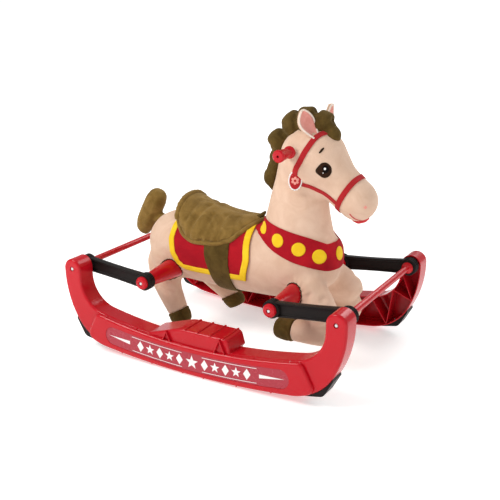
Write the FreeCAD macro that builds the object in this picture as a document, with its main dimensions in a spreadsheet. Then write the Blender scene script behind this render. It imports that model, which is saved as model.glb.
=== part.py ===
import FreeCAD, Part
import math
import os
from FreeCAD import Rotation, Vector

# A plush rocking horse hung on four elastic arms between two moulded rocker rails.
# Frame: +X towards the horse's head, +Y the horse's left, +Z up, origin on the floor below the middle.

doc = FreeCAD.newDocument("RockingHorse")
sheet = doc.addObject("Spreadsheet::Sheet", "Sizes")

sizes = {
    # rocker rails, side outline
    "axisReach": 430.0,        # crossbar axis, ahead of and behind the middle
    "axisHeight": 242.0,       # crossbar axis above the floor
    "towerRadius": 30.0,       # rounded top of each tower
    "rockRadius": 2600.0,      # long curve that rolls on the floor
    "toeRadius": 150.0,        # curve from the floor up to the tower
    "toeAngle": 62.0,          # slope at which the toe turns into the tower
    "towerStraight": 9.0,      # upright run below the crossbar axis
    "railTopRadius": 1670.0,   # curve of the rail's top edge
    "railDepth": 90.0,         # rail height at the middle
    "hollowRadius": 97.0,      # hollow curve between rail and tower
    # rocker rails, across
    "railOuter": 292.0,        # outer face of the towers
    "railWidth": 57.0,
    "bulge": 11.0,             # the rail stands out this far past the towers
    "bulgeInset": 2.0,
    "bulgeFoot": 50.0,         # lower end of the bulge, in from the crossbar axis
    "bulgeTop": 92.0,          # upper end of the bulge, in from the crossbar axis
    "bulgeCorner": 22.0,
    "bulgeRound": 8.0,
    "shellRound": 7.0,
    "wall": 3.0,
    "ribThick": 2.6,
    "ribSetback": 4.0,         # ribs stop this far inside the open side
    "panelReach": 305.0,       # half length of the recessed label panel
    "panelHeight": 56.0,
    "panelDepth": 1.5,
    "panelLevel": 45.0,
    "panelCurve": 2150.0,
    "labelThick": 0.5,
    "labelGap": 0.6,
    # footrests
    "treadHeight": 132.0,
    "treadFront": 108.0,
    "treadDrop": 12.0,         # the front end leans out this far on its way down
    "treadBack": 48.0,
    "rampEnd": 155.0,
    "treadInner": 210.0,
    "treadLip": 14.0,
    "ledgeThick": 5.0,
    "ridgePitch": 41.5,
    "ridgeLast": 96.0,
    "ridgeHeight": 3.0,
    "ridgeWidth": 7.0,
    "ridgeLength": 84.0,
    "ridgeOverhang": 2.0,
    # stops under the toes
    "stopReach": 18.0,
    "stopWidth": 50.0,
    # crossbars
    "barDiameter": 19.0,
    "barWall": 1.6,
    "barShort": 12.0,          # bar end short of the tower's outer face
    "socketGap": 0.2,
    "bossWall": 5.0,
    "collarDiameter": 34.0,
    "collarThick": 5.0,
    "plugLength": 26.0,
    "screwDiameter": 5.0,
    "screwBore": 6.0,
    "screwHead": 11.0,
    "screwHeadHeight": 3.2,
    "screwRecess": 4.5,
    # suspension arms
    "armGap": 1.0,             # arm eye clear of the tower and the collar
    "eyeWidth": 28.0,
    "eyeDiameter": 50.0,
    "strapWidth": 20.0,
    "strapHeight": 44.0,
    "webThick": 8.0,
    "rimThick": 5.0,
    "eyeGap": 0.3,             # radial play of an eye on its steel tube
    "pegReach": 212.0,         # peg axis, ahead of and behind the middle
    "pegHeight": 220.0,
    # pegs and caps
    "pegDepth": 60.0,          # wide end of a peg, from the middle plane
    "pegWide": 66.0,
    "pegNarrow": 40.0,
    "pegWall": 3.0,
    "capDiameter": 38.0,
    "capThick": 11.0,
    "holeGap": 1.5,            # plush cut back around hard pieces
    # frame inside the plush
    "beamSide": 40.0,
    "beamWall": 2.5,
    "beamOverrun": 34.0,
    "boardLength": 300.0,
    "boardWidth": 110.0,
    "boardThick": 12.0,
    "boardLevel": 322.0,
    "seatBehind": 60.0,        # middle of the seat board, behind the middle
    "postDiameter": 25.0,
    "postWall": 2.0,
    "postReach": 95.0,
    "neckPostLean": 190.0,     # neck post ahead of the middle
    "rodDiameter": 16.0,
    "rodHeight": 617.0,
    "gripInner": 86.0,         # inner end of a grip from the middle plane
    "gripOuter": 156.0,
    "gripWaist": 26.0,
    "gripFlare": 34.0,
    # plush horse
    "torsoBack": -338.0,
    "torsoFront": 300.0,
    "torsoHalfWidth": 108.0,
    "torsoHalfHeight": 111.0,
    "torsoLevel": 281.0,
    "neckHalfWidth": 78.0,
    "headAhead": 212.0,
    "headHeight": 588.0,
    "headSlope": 35.0,
    "headHalfWidth": 86.0,
    "headHalfDepth": 89.0,
    "eyeballDiameter": 40.0,
    "clothThick": 2.5,
    "strapThick": 3.0,
    "saddleThick": 26.0,
    "layerGap": 0.4,
    "bandWidth": 17.0,
}
for row, (name, value) in enumerate(sizes.items(), start=1):
    sheet.set("A%d" % row, name)
    sheet.set("B%d" % row, str(value))
    sheet.setAlias("B%d" % row, name)
doc.recompute()


def size(name):
    return float(getattr(sheet, name))


parts = []


# ---- general helpers -------------------------------------------------------------------

def newBody(label, kept=True):
    body = doc.addObject("PartDesign::Body", label)
    body.Label = label
    if kept:
        parts.append(body)
    return body


def newSketch(body, role, name, level=None, acrossX=None, acrossY=None):
    # a sketch on one of the body's origin planes, moved by expressions along that plane's axes
    sketch = body.newObject("Sketcher::SketchObject", body.Name + name)
    plane = [part for part in body.Origin.OriginFeatures if part.Role == role][0]
    sketch.AttachmentSupport = [(plane, "")]
    sketch.MapMode = "FlatFace"
    if level:
        sketch.setExpression("AttachmentOffset.Base.z", level)
    if acrossX:
        sketch.setExpression("AttachmentOffset.Base.x", acrossX)
    if acrossY:
        sketch.setExpression("AttachmentOffset.Base.y", acrossY)
    return sketch


def pad(body, sketch, name, length, reverse=False, middle=False):
    feature = body.newObject("PartDesign::Pad", body.Name + name)
    feature.Profile = sketch
    feature.setExpression("Length", length)
    feature.Reversed = reverse
    feature.Midplane = middle
    return feature


def pocket(body, sketch, name, depth, reverse=False, middle=False, throughAll=False):
    feature = body.newObject("PartDesign::Pocket", body.Name + name)
    feature.Profile = sketch
    if throughAll:
        feature.Type = "ThroughAll"
    else:
        feature.setExpression("Length", depth)
    feature.Reversed = reverse
    feature.Midplane = middle
    doc.recompute()
    before = feature.BaseFeature.Shape.Volume
    if not feature.Shape.Volume < before - 1.0:
        raise RuntimeError(feature.Name + " cuts nothing")
    return feature


def addPath(sketch, pieces):
    # pieces are ("line", p, q) or ("arc", p, m, q) in the sketch plane
    for piece in pieces:
        points = [Vector(x, z, 0) for x, z in piece[1:]]
        if piece[0] == "line":
            sketch.addGeometry(Part.LineSegment(*points), False)
        else:
            sketch.addGeometry(Part.Arc(*points), False)


def polygon(points):
    return [("line", p, q) for p, q in zip(points, points[1:] + points[:1])]


def addCircle(sketch, x, z, radius):
    sketch.addGeometry(Part.Circle(Vector(x, z, 0), Vector(0, 0, 1), radius), False)


def roundEdges(body, base, name, radius, test):
    chosen = ["Edge%d" % (i + 1) for i, edge in enumerate(base.Shape.Edges) if test(edge)]
    feature = body.newObject("PartDesign::Fillet", body.Name + name)
    feature.Base = (base, chosen)
    feature.setExpression("Radius", radius)
    doc.recompute()
    return feature


def join(body, other, name):
    # another body becomes part of this one
    feature = body.newObject("PartDesign::Boolean", body.Name + name)
    feature.addObjects([other])
    feature.Type = "Fuse"
    doc.recompute()
    return feature


def turned(label, profile, atX="0", atZ="0", kept=True):
    # a turned piece about an axis along Y; the profile is a list of (radius, y)
    body = newBody(label, kept)
    sketch = newSketch(body, "XY_Plane", "Profile", level=atZ, acrossX=atX)
    addPath(sketch, polygon(profile))
    feature = body.newObject("PartDesign::Revolution", body.Name + "Turn")
    feature.Profile = sketch
    feature.ReferenceAxis = (sketch, ["V_Axis"])
    feature.Angle = 360.0
    return body


def mirrored(label, source):
    # the same piece on the other side of the middle plane
    copy = doc.addObject("Part::Mirroring", label)
    copy.Label = label
    copy.Source = source
    copy.Normal = Vector(0, 1, 0)
    parts.append(copy)
    return copy


def fixed(label, shape):
    piece = doc.addObject("Part::Feature", label)
    piece.Label = label
    piece.Shape = shape
    parts.append(piece)
    return piece


def fourCorners(label, source):
    # identical pieces at all four corners, sharing one node
    doc.recompute()
    origin, forward, sideways = Vector(0, 0, 0), Vector(1, 0, 0), Vector(0, 1, 0)
    pair = [source.Shape.copy(), source.Shape.mirror(origin, sideways)]
    return fixed(label, Part.makeCompound(pair + [one.mirror(origin, forward) for one in pair]))


# ---- rocker rails ------------------------------------------------------------------------

reach = size("axisReach")
axisZ = size("axisHeight")
towerR = size("towerRadius")
rockR = size("rockRadius")
toeR = size("toeRadius")
toeTurn = math.radians(size("toeAngle"))
hollowR = size("hollowRadius")
topR = size("railTopRadius")
wall = size("wall")
treadZ = size("treadHeight")

# the upper toe curve ends upright, just below the crossbar axis
upperR = 2 * toeR
for step in range(30):
    rockTurn = math.asin((reach + towerR - upperR + (upperR - toeR) * math.sin(toeTurn)) / (rockR - toeR))
    rise = rockR - (rockR - toeR) * math.cos(rockTurn)
    upperR = toeR + (axisZ - size("towerStraight") - rise) / math.cos(toeTurn)

rockC = (0.0, rockR)
toeC = ((rockR - toeR) * math.sin(rockTurn), rise)
upperC = (toeC[0] - (upperR - toeR) * math.sin(toeTurn), rise + (upperR - toeR) * math.cos(toeTurn))
topC = (0.0, size("railDepth") + topR)
innerX = reach - towerR
hollowC = (innerX - hollowR, topC[1] - math.sqrt((topR - hollowR) ** 2 - (innerX - hollowR) ** 2))
topTurn = math.asin(hollowC[0] / (topR - hollowR))


def onCircle(centre, radius, angle):
    # the angle is measured from straight down, turning towards +X
    return (centre[0] + radius * math.sin(angle), centre[1] - radius * math.cos(angle))


def arcPiece(centre, radius, start, end):
    return ("arc", onCircle(centre, radius, start), onCircle(centre, radius, (start + end) / 2),
            onCircle(centre, radius, end))


def meetLines(a, b, c, d):
    ux, uz = b[0] - a[0], b[1] - a[1]
    vx, vz = d[0] - c[0], d[1] - c[1]
    along = ((c[0] - a[0]) * vz - (c[1] - a[1]) * vx) / (ux * vz - uz * vx)
    return (a[0] + ux * along, a[1] + uz * along)


def meetArc(a, b, centre, radius, near=False):
    # where the line from a through b crosses the circle, at its far or its near side
    ux, uz = b[0] - a[0], b[1] - a[1]
    length = math.hypot(ux, uz)
    ux, uz = ux / length, uz / length
    fx, fz = a[0] - centre[0], a[1] - centre[1]
    half = fx * ux + fz * uz
    root = math.sqrt(half * half - (fx * fx + fz * fz - radius * radius))
    along = -half - root if near else -half + root
    return (a[0] + ux * along, a[1] + uz * along)


def shiftLine(a, b, inset):
    # the line moved to its left by the inset
    ux, uz = b[0] - a[0], b[1] - a[1]
    length = math.hypot(ux, uz)
    dx, dz = -uz / length * inset, ux / length * inset
    return (a[0] + dx, a[1] + dz), (b[0] + dx, b[1] + dz)


def railTopAt(x, inset=0.0):
    return topC[1] - math.sqrt((topR + inset) ** 2 - x * x)


def railBottomAt(x, inset=0.0):
    if x < toeC[0]:
        return rockR - math.sqrt((rockR - inset) ** 2 - x * x)
    return toeC[1] - math.sqrt((toeR - inset) ** 2 - (x - toeC[0]) ** 2)


def corner(p, tip, q):
    # an arc that touches both lines at p and q, at equal distances from their tip
    u = toward((0.0, 0.0), (p[0] - tip[0], p[1] - tip[1]), 1.0)
    v = toward((0.0, 0.0), (q[0] - tip[0], q[1] - tip[1]), 1.0)
    half = toward((0.0, 0.0), (u[0] + v[0], u[1] + v[1]), 1.0)
    cosine = u[0] * half[0] + u[1] * half[1]
    cut = math.hypot(p[0] - tip[0], p[1] - tip[1])
    back = cut / cosine - cut * math.tan(math.acos(cosine))
    return ("arc", p, (tip[0] + half[0] * back, tip[1] + half[1] * back), q)


def arcAbout(centre, radius, p, q):
    # the short arc from p to q about the centre
    middle = ((p[0] + q[0]) / 2, (p[1] + q[1]) / 2)
    return ("arc", p, toward(centre, middle, radius), q)


def toward(a, b, length):
    span = math.hypot(b[0] - a[0], b[1] - a[1])
    return tuple(s + (e - s) * length / span for s, e in zip(a, b))


def footrestTop(inset, front):
    # from the rail's top edge up over the tread to the seam
    if front:
        foot = (size("treadFront") + size("treadDrop"), size("railDepth"))
        edge = (size("treadFront"), treadZ)
    else:
        foot = (size("rampEnd"), railTopAt(size("rampEnd")))
        edge = (size("treadBack"), treadZ)
    side = shiftLine(foot, edge, inset)
    level = ((inset, treadZ - inset), (1.0, treadZ - inset))
    tip = meetLines(side[0], side[1], level[0], level[1])
    low = meetArc(tip, side[0], topC, topR + inset)
    bend = 10.0 if front else 14.0
    start, end = toward(tip, low, bend), toward(tip, level[0], bend)
    return low, [("line", low, start), corner(start, tip, end), ("line", end, level[0])]


def treadBand(thick, front):
    # the footrest's top, this thick, from its foot to the seam
    low, over = footrestTop(0.0, front)
    lowUnder, under = footrestTop(thick, front)
    down = [("line", (0.0, treadZ), (0.0, treadZ - thick)), ("line", (0.0, treadZ - thick), under[-1][2])]
    back = [("line", under[2][2], under[2][1]), ("arc", under[1][3], under[1][2], under[1][1]),
            ("line", under[0][2], under[0][1]), ("line", lowUnder, low)]
    return over[:2] + [("line", over[2][1], (0.0, treadZ))] + down + back


def railOutline(inset, front):
    low, footrest = footrestTop(inset, front)
    first = math.asin(inset / (rockR - inset))
    lowTurn = math.asin(low[0] / (topR + inset))
    outer, inner = reach + towerR - inset, innerX + inset
    path = [
        arcPiece(rockC, rockR - inset, first, rockTurn),
        arcPiece(toeC, toeR - inset, rockTurn, toeTurn),
        arcPiece(upperC, upperR - inset, toeTurn, math.pi / 2),
        ("line", (outer, upperC[1]), (outer, axisZ)),
        ("arc", (outer, axisZ), (reach, axisZ + towerR - inset), (inner, axisZ)),
        ("line", (inner, axisZ), (inner, hollowC[1])),
        arcPiece(hollowC, hollowR + inset, math.pi / 2, topTurn),
        arcPiece(topC, topR + inset, topTurn, lowTurn),
    ] + footrest
    path.append(("line", (inset, treadZ - inset), onCircle(rockC, rockR - inset, first)))
    return path


def bulgeOutline(inset, seam):
    total = size("bulgeInset") + inset
    bend = size("bulgeCorner") - inset
    footX = reach - size("bulgeFoot")
    topX = reach - size("bulgeTop")
    foot, crown = shiftLine((footX, railBottomAt(footX)), (topX, railTopAt(topX)), inset)
    inFoot, inCrown = shiftLine(foot, crown, bend)
    footC = meetArc(inCrown, inFoot, toeC, toeR - total - bend)
    crownC = meetArc(inFoot, inCrown, hollowC, hollowR + total + bend, near=True)
    side = toward((0.0, 0.0), (foot[0] - inFoot[0], foot[1] - inFoot[1]), bend)
    footEnd = (footC[0] + side[0], footC[1] + side[1])
    crownStart = (crownC[0] + side[0], crownC[1] + side[1])
    footStart = toward(toeC, footC, toeR - total)
    crownEnd = toward(hollowC, crownC, hollowR + total)
    toeBefore = math.asin((footStart[0] - toeC[0]) / (toeR - total))
    hollowAfter = math.asin((crownEnd[0] - hollowC[0]) / (hollowR + total))
    first = math.asin(seam / (rockR - total))
    last = math.asin(seam / (topR + total))
    return [
        arcPiece(rockC, rockR - total, first, rockTurn),
        arcPiece(toeC, toeR - total, rockTurn, toeBefore),
        arcAbout(footC, bend, footStart, footEnd),
        ("line", footEnd, crownStart),
        arcAbout(crownC, bend, crownStart, crownEnd),
        arcPiece(hollowC, hollowR + total, hollowAfter, topTurn),
        arcPiece(topC, topR + total, topTurn, last),
        ("line", onCircle(topC, topR + total, last), onCircle(rockC, rockR - total, first)),
    ]


def panelOutline(gap):
    # half of the curved slot, closed at the seam
    half = size("panelHeight") / 2 - gap
    centre = (0.0, size("panelLevel") + size("panelCurve"))
    low, high = size("panelCurve") + half, size("panelCurve") - half
    turn = math.asin((size("panelReach") - half) / size("panelCurve"))
    end = onCircle(centre, size("panelCurve"), math.asin((size("panelReach") - gap) / size("panelCurve")))
    return [
        arcPiece(centre, low, 0.0, turn),
        ("arc", onCircle(centre, low, turn), end, onCircle(centre, high, turn)),
        arcPiece(centre, high, turn, 0.0),
        ("line", onCircle(centre, high, 0.0), onCircle(centre, low, 0.0)),
    ]


def turnedTo(path, end):
    # the outlines are drawn for the front; the rear ones face the other way
    return [(piece[0],) + tuple((end * x, z) for x, z in piece[1:]) for piece in path]


def ribNodes(front):
    # the zigzag that the ribs follow, from the seam to the tower, on the mid-wall line
    half = wall / 2
    nodes = []
    for step, x in enumerate((34, 88, 142, 196, 250, 304)):
        if step % 2 == 0:
            nodes.append((x, railBottomAt(x, half)))
            continue
        low = footrestTop(half, front)[0]
        side = footrestTop(half, front)[1][0][2]
        if x > low[0]:
            nodes.append((x, railTopAt(x, half)))
        elif x > side[0]:
            share = (x - side[0]) / (low[0] - side[0])
            nodes.append((x, side[1] + share * (low[1] - side[1])))
        else:
            nodes.append((x, treadZ - half))
    nodes.append(onCircle(toeC, toeR - half, math.radians(26)))
    nodes.append(onCircle(hollowC, hollowR + half, math.radians(48)))
    nodes.append(onCircle(upperC, upperR - half, math.radians(68)))
    nodes.append((innerX + half, hollowC[1] - 4))
    return nodes


def swell(label, end):
    # the part of the rail that stands out past the towers, rounded before it joins the shell
    body = newBody(label + "Swell", kept=False)
    sketch = newSketch(body, "XZ_Plane", "Side", level="Sizes.railOuter - Sizes.bulgeRound - Sizes.wall")
    addPath(sketch, turnedTo(bulgeOutline(0.0, 0.0), end))
    block = pad(body, sketch, "Block", "Sizes.bulge + Sizes.bulgeRound + Sizes.wall")
    doc.recompute()
    face = size("railOuter") + size("bulge")
    roundEdges(body, block, "Round", "Sizes.bulgeRound", lambda edge: all(
        abs(v.Point.y + face) < 0.01 for v in edge.Vertexes) and not all(
        abs(v.Point.x) < 0.01 for v in edge.Vertexes))
    return body


def rockerHalf(label, end):
    front = end > 0
    body = newBody(label)
    openSide = "Sizes.railOuter - Sizes.railWidth"
    outerFace = size("railOuter")

    outline = newSketch(body, "XZ_Plane", "Outline", level=openSide)
    addPath(outline, turnedTo(railOutline(0.0, front), end))
    shell = pad(body, outline, "Shell", "Sizes.railWidth")
    doc.recompute()
    roundEdges(body, shell, "Round", "Sizes.shellRound", lambda edge: all(
        abs(v.Point.y + outerFace) < 0.01 for v in edge.Vertexes) and not all(
        abs(v.Point.x) < 0.01 for v in edge.Vertexes))

    join(body, swell(label, end), "Swell")

    # the tread reaches further in than the rail, with a lip along its inner edge
    ledge = newSketch(body, "XZ_Plane", "Ledge", level="Sizes.treadInner")
    addPath(ledge, turnedTo(treadBand(size("ledgeThick"), front), end))
    pad(body, ledge, "Ledge", "Sizes.railOuter - Sizes.railWidth - Sizes.treadInner + Sizes.wall")
    lip = newSketch(body, "XZ_Plane", "Lip", level="Sizes.treadInner")
    addPath(lip, turnedTo(treadBand(size("treadLip"), front), end))
    pad(body, lip, "Lip", "Sizes.wall")

    # hollow from the open side, then deeper behind the bulge
    inside = newSketch(body, "XZ_Plane", "Inside", level=openSide)
    addPath(inside, turnedTo(railOutline(wall, front), end))
    pocket(body, inside, "Inside", "Sizes.railWidth - Sizes.wall", reverse=True)
    deeper = newSketch(body, "XZ_Plane", "Deeper", level="Sizes.railOuter - Sizes.bulgeRound")
    addPath(deeper, turnedTo(bulgeOutline(wall + 2.0, wall), end))
    pocket(body, deeper, "Deeper", "Sizes.bulge + Sizes.bulgeRound - Sizes.wall - Sizes.panelDepth", reverse=True)

    # zigzag stiffening ribs
    nodes = ribNodes(front)
    half = size("ribThick") / 2
    for step, (a, b) in enumerate(zip(nodes, nodes[1:])):
        length = math.hypot(b[0] - a[0], b[1] - a[1])
        sx, sz = -(b[1] - a[1]) / length * half, (b[0] - a[0]) / length * half
        strip = newSketch(body, "XZ_Plane", "Rib%d" % step, level=openSide + " + Sizes.ribSetback")
        corners = [(a[0] + sx, a[1] + sz), (a[0] - sx, a[1] - sz), (b[0] - sx, b[1] - sz), (b[0] + sx, b[1] + sz)]
        addPath(strip, turnedTo(polygon(corners), end))
        reachOut = " + Sizes.bulge - Sizes.panelDepth" if b[0] < size("panelReach") else ""
        pad(body, strip, "RibPad%d" % step, "Sizes.railWidth - Sizes.ribSetback - Sizes.wall / 2" + reachOut)

    # socket for the crossbar, with the screw seat outside
    boss = newSketch(body, "XZ_Plane", "Boss", level=openSide + " + Sizes.wall")
    bossR = size("barDiameter") / 2 + size("socketGap") + size("bossWall")
    addCircle(boss, end * reach, axisZ, bossR)
    pad(body, boss, "Boss", "Sizes.railWidth - Sizes.wall * 1.5")
    socket = newSketch(body, "XZ_Plane", "Socket", level=openSide)
    addCircle(socket, end * reach, axisZ, size("barDiameter") / 2 + size("socketGap"))
    pocket(body, socket, "Socket", "Sizes.railWidth - Sizes.barShort", reverse=True)
    seat = newSketch(body, "XZ_Plane", "Seat", level="Sizes.railOuter")
    addCircle(seat, end * reach, axisZ, size("screwHead") / 2 + 1.5)
    pocket(body, seat, "Seat", "Sizes.screwRecess")
    bore = newSketch(body, "XZ_Plane", "Bore", level="Sizes.railOuter")
    addCircle(bore, end * reach, axisZ, size("screwBore") / 2)
    pocket(body, bore, "Bore", "Sizes.barShort * 1.2")

    # recessed panel on the outer face
    panel = newSketch(body, "XZ_Plane", "Panel", level="Sizes.railOuter + Sizes.bulge")
    addPath(panel, turnedTo(panelOutline(0.0), end))
    pocket(body, panel, "Panel", "Sizes.panelDepth")

    # screw holes through the end wall at the seam
    joint = newSketch(body, "YZ_Plane", "Joint", level="%d * Sizes.wall * 2" % end)
    for z in seamScrewLevels():
        addCircle(joint, -seamScrewAcross(), z, size("screwDiameter") / 2)
    pocket(body, joint, "Joint", "Sizes.wall * 4", reverse=end < 0)

    # hole for the stop's screw
    stopHole = newSketch(body, "XY_Plane", "StopHole", level="0")
    x, z = stopScrewPoint()
    addCircle(stopHole, end * x, -stopMiddle(), size("screwDiameter") / 2)
    pocket(body, stopHole, "StopHole", "%f" % (z + 12.0), reverse=True)

    # ridges across the tread
    if front:
        places = [size("ridgeLast") - step * size("ridgePitch") for step in range(3)]
    else:
        places = [3 * size("ridgePitch") - size("ridgeLast")]
    ridges = newSketch(body, "XZ_Plane", "Ridges", level="Sizes.treadInner - Sizes.ridgeOverhang")
    w, rise = size("ridgeWidth") / 2, size("ridgeHeight")
    for x in places:
        left, top, right = (x - w, treadZ - 0.2), (x, treadZ + rise), (x + w, treadZ - 0.2)
        addPath(ridges, turnedTo([("arc", left, top, right), ("line", right, left)], end))
    last = pad(body, ridges, "Ridges", "Sizes.ridgeLength")
    body.Tip = last
    doc.recompute()
    return body


def seamScrewLevels():
    return (size("railDepth") * 0.2, treadZ - 24.0)


def seamScrewAcross():
    return size("railOuter") - size("railWidth") / 2


def stopMiddle():
    return size("railOuter") - size("railWidth") / 2


def stopScrewPoint():
    return onCircle(toeC, toeR, math.radians(34))


def stop(label):
    # a rubber wedge under the toe, seated on the toe curve
    body = newBody(label, kept=False)
    sketch = newSketch(body, "XZ_Plane", "Side", level="%f" % (stopMiddle() - size("stopWidth") / 2))
    start, finish = math.radians(15), math.radians(60)
    a, b = onCircle(toeC, toeR, start), onCircle(toeC, toeR, finish)
    tip = onCircle(toeC, toeR + size("stopReach"), math.radians(38))
    c = toward(a, tip, 10.0)
    d = onCircle(toeC, toeR + 5.0, finish - math.radians(2))
    soft = 9.0
    path = [arcPiece(toeC, toeR, start, finish), ("line", b, d), ("line", d, toward(tip, d, soft)),
            corner(toward(tip, d, soft), tip, toward(tip, c, soft)), ("line", toward(tip, c, soft), a)]
    addPath(sketch, path)
    pad(body, sketch, "Block", "Sizes.stopWidth")
    doc.recompute()
    hole = newSketch(body, "XY_Plane", "Hole", level="0")
    x, z = stopScrewPoint()
    addCircle(hole, x, -stopMiddle(), size("screwDiameter") / 2)
    pocket(body, hole, "Hole", "%f" % (z + 12.0), reverse=True)
    flare = newSketch(body, "XY_Plane", "HeadHole", level="0")
    addCircle(flare, x, -stopMiddle(), size("screwHead") / 2 + 0.5)
    pocket(body, flare, "HeadHole", "%f" % (z - 4.0), reverse=True)
    return body


ends = {"front": 1, "rear": -1}
for name, end in ends.items():
    half = rockerHalf("rocker_%s_right" % name, end)
    mirrored("rocker_%s_left" % name, half)
fourCorners("rubber_stops", stop("stop"))

# ---- crossbars -----------------------------------------------------------------------------

barR = size("barDiameter") / 2
openY = size("railOuter") - size("railWidth")          # open side of the towers
eyeOut = openY - size("armGap")                         # outer and inner faces of an arm's eyes
eyeIn = eyeOut - size("eyeWidth")
barEnd = size("railOuter") - size("barShort")
plugStart = barEnd - size("plugLength")


def bar(label, end):
    # a tube across both rails with a welded collar beside each arm
    collarOut = eyeIn - size("armGap")
    collarIn = collarOut - size("collarThick")
    collarR = size("collarDiameter") / 2
    hole = barR - size("barWall")
    profile = [(hole, -barEnd), (barR, -barEnd), (barR, -collarOut), (collarR, -collarOut),
               (collarR, -collarIn - 2), (barR + 2, -collarIn + 4), (barR, -collarIn + 10)]
    profile += [(r, -y) for r, y in reversed(profile)]
    return turned(label, profile, "%d * Sizes.axisReach" % end, "Sizes.axisHeight")


def copies(label, source, places):
    # identical pieces that share one node
    doc.recompute()
    solids = []
    for move, flip in places:
        copy = source.Shape.copy()
        if flip:
            copy = copy.mirror(Vector(0, 0, 0), Vector(0, 1, 0))
        copy.translate(move)
        solids.append(copy)
    return fixed(label, Part.makeCompound(solids))


def fourPlaces(x, z):
    return [(Vector(sx * x, 0, z), flip) for sx in (1, -1) for flip in (False, True)]


bar("front_crossbar", 1)
bar("rear_crossbar", -1)

threadR = size("screwDiameter") / 2
plugR = barR - size("barWall")
plug = turned("plug", [(threadR, -barEnd), (plugR, -barEnd), (plugR, -plugStart), (threadR, -plugStart)],
              kept=False)
copies("crossbar_plugs", plug, fourPlaces(reach, axisZ))

headR = size("screwHead") / 2
seatY = size("railOuter") - size("screwRecess")
towerScrew = turned("towerScrew", [
    (0, -plugStart - 4), (threadR, -plugStart - 4), (threadR, -seatY), (headR, -seatY),
    (headR, -seatY - 1.4), (headR * 0.7, -seatY - size("screwHeadHeight")), (0, -seatY - size("screwHeadHeight"))],
    kept=False)
copies("tower_screws", towerScrew, fourPlaces(reach, axisZ))

# screws that pull the two halves of each rail together, and screws that hold the stops


def lyingScrew(name, length):
    body = newBody(name, kept=False)
    sketch = newSketch(body, "XY_Plane", "Side")
    tipX, headX = -length / 2, length / 2
    high = size("screwHeadHeight")
    addPath(sketch, polygon([(tipX, 0), (headX + high, 0), (headX + high, headR * 0.6), (headX + high / 2, headR),
                             (headX, headR), (headX, threadR), (tipX, threadR)]))
    feature = body.newObject("PartDesign::Revolution", name + "Turn")
    feature.Profile = sketch
    feature.ReferenceAxis = (sketch, ["H_Axis"])
    feature.Angle = 360.0
    return body


seamScrew = lyingScrew("seamScrew", 2 * wall)
copies("seam_screws", seamScrew, [(Vector(0, side * seamScrewAcross(), z), False)
                                  for side in (-1, 1) for z in seamScrewLevels()])

stopX, stopZ = stopScrewPoint()
doc.recompute()
stopScrews = []
stopScrew = turned("stopScrew", [
    (0, 0), (headR, 0), (headR, 2.0), (threadR, size("screwHeadHeight")), (threadR, 22.0), (0, 22.0)], kept=False)
doc.recompute()
for sx in (1, -1):
    for side in (-1, 1):
        copy = stopScrew.Shape.copy()
        copy.rotate(Vector(0, 0, 0), Vector(1, 0, 0), 90)
        copy.translate(Vector(sx * stopX, side * stopMiddle(), stopZ - 16.0))
        stopScrews.append(copy)
fixed("stop_screws", Part.makeCompound(stopScrews))

# ---- printed labels in the rail panels -------------------------------------------------------

labelBody = newBody("label_right")
labelSketch = newSketch(labelBody, "XZ_Plane", "Side", level="Sizes.railOuter + Sizes.bulge - Sizes.panelDepth")
frontHalf = panelOutline(size("labelGap"))[:-1]
rearHalf = [(piece[0],) + tuple(reversed(piece[1:])) for piece in reversed(turnedTo(frontHalf, -1))]
addPath(labelSketch, frontHalf + rearHalf)
pad(labelBody, labelSketch, "Sheet", "Sizes.labelThick")
mirrored("label_left", labelBody)

# ---- suspension arms -------------------------------------------------------------------------

pegX = size("pegReach")
pegZ = size("pegHeight")
armMiddle = "Sizes.railOuter - Sizes.railWidth - Sizes.armGap - Sizes.eyeWidth / 2"


def strapSides(end, half, shorten):
    a, b = (end * reach, axisZ), (end * pegX, pegZ)
    length = math.hypot(b[0] - a[0], b[1] - a[1])
    ux, uz = (b[0] - a[0]) / length, (b[1] - a[1]) / length
    start = (a[0] + ux * shorten, a[1] + uz * shorten)
    finish = (b[0] - ux * shorten, b[1] - uz * shorten)
    return [(start[0] - uz * half, start[1] + ux * half), (finish[0] - uz * half, finish[1] + ux * half),
            (finish[0] + uz * half, finish[1] - ux * half), (start[0] + uz * half, start[1] - ux * half)]


def arm(label, end):
    # a moulded elastic strap with an eye at each end and a thinner web between its rims
    body = newBody(label)
    half = size("strapHeight") / 2
    strap = newSketch(body, "XZ_Plane", "Strap", level=armMiddle)
    addPath(strap, polygon(strapSides(end, half, 0.0)))
    pad(body, strap, "Strap", "Sizes.strapWidth", middle=True)
    eyes = newSketch(body, "XZ_Plane", "Eyes", level=armMiddle)
    addCircle(eyes, end * reach, axisZ, size("eyeDiameter") / 2)
    addCircle(eyes, end * pegX, pegZ, size("eyeDiameter") / 2)
    pad(body, eyes, "Eyes", "Sizes.eyeWidth", middle=True)
    clear = size("eyeDiameter") / 2 + size("rimThick")
    hollow = polygon(strapSides(end, half - size("rimThick"), clear))
    for face, back in (("Outer", False), ("Inner", True)):
        side = newSketch(body, "XZ_Plane", face, level="%s %s Sizes.strapWidth / 2"
                         % (armMiddle, "-" if back else "+"))
        addPath(side, hollow)
        pocket(body, side, face + "Cut", "(Sizes.strapWidth - Sizes.webThick) / 2", reverse=back)
    bores = newSketch(body, "XZ_Plane", "Bores", level=armMiddle)
    addCircle(bores, end * reach, axisZ, barR + size("eyeGap"))
    addCircle(bores, end * pegX, pegZ, barR + size("eyeGap"))
    pocket(body, bores, "Bores", "Sizes.eyeWidth * 2", middle=True)
    return body


for name, end in ends.items():
    mirrored("arm_%s_left" % name, arm("arm_%s_right" % name, end))

# ---- pegs, axles and caps ---------------------------------------------------------------------

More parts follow.
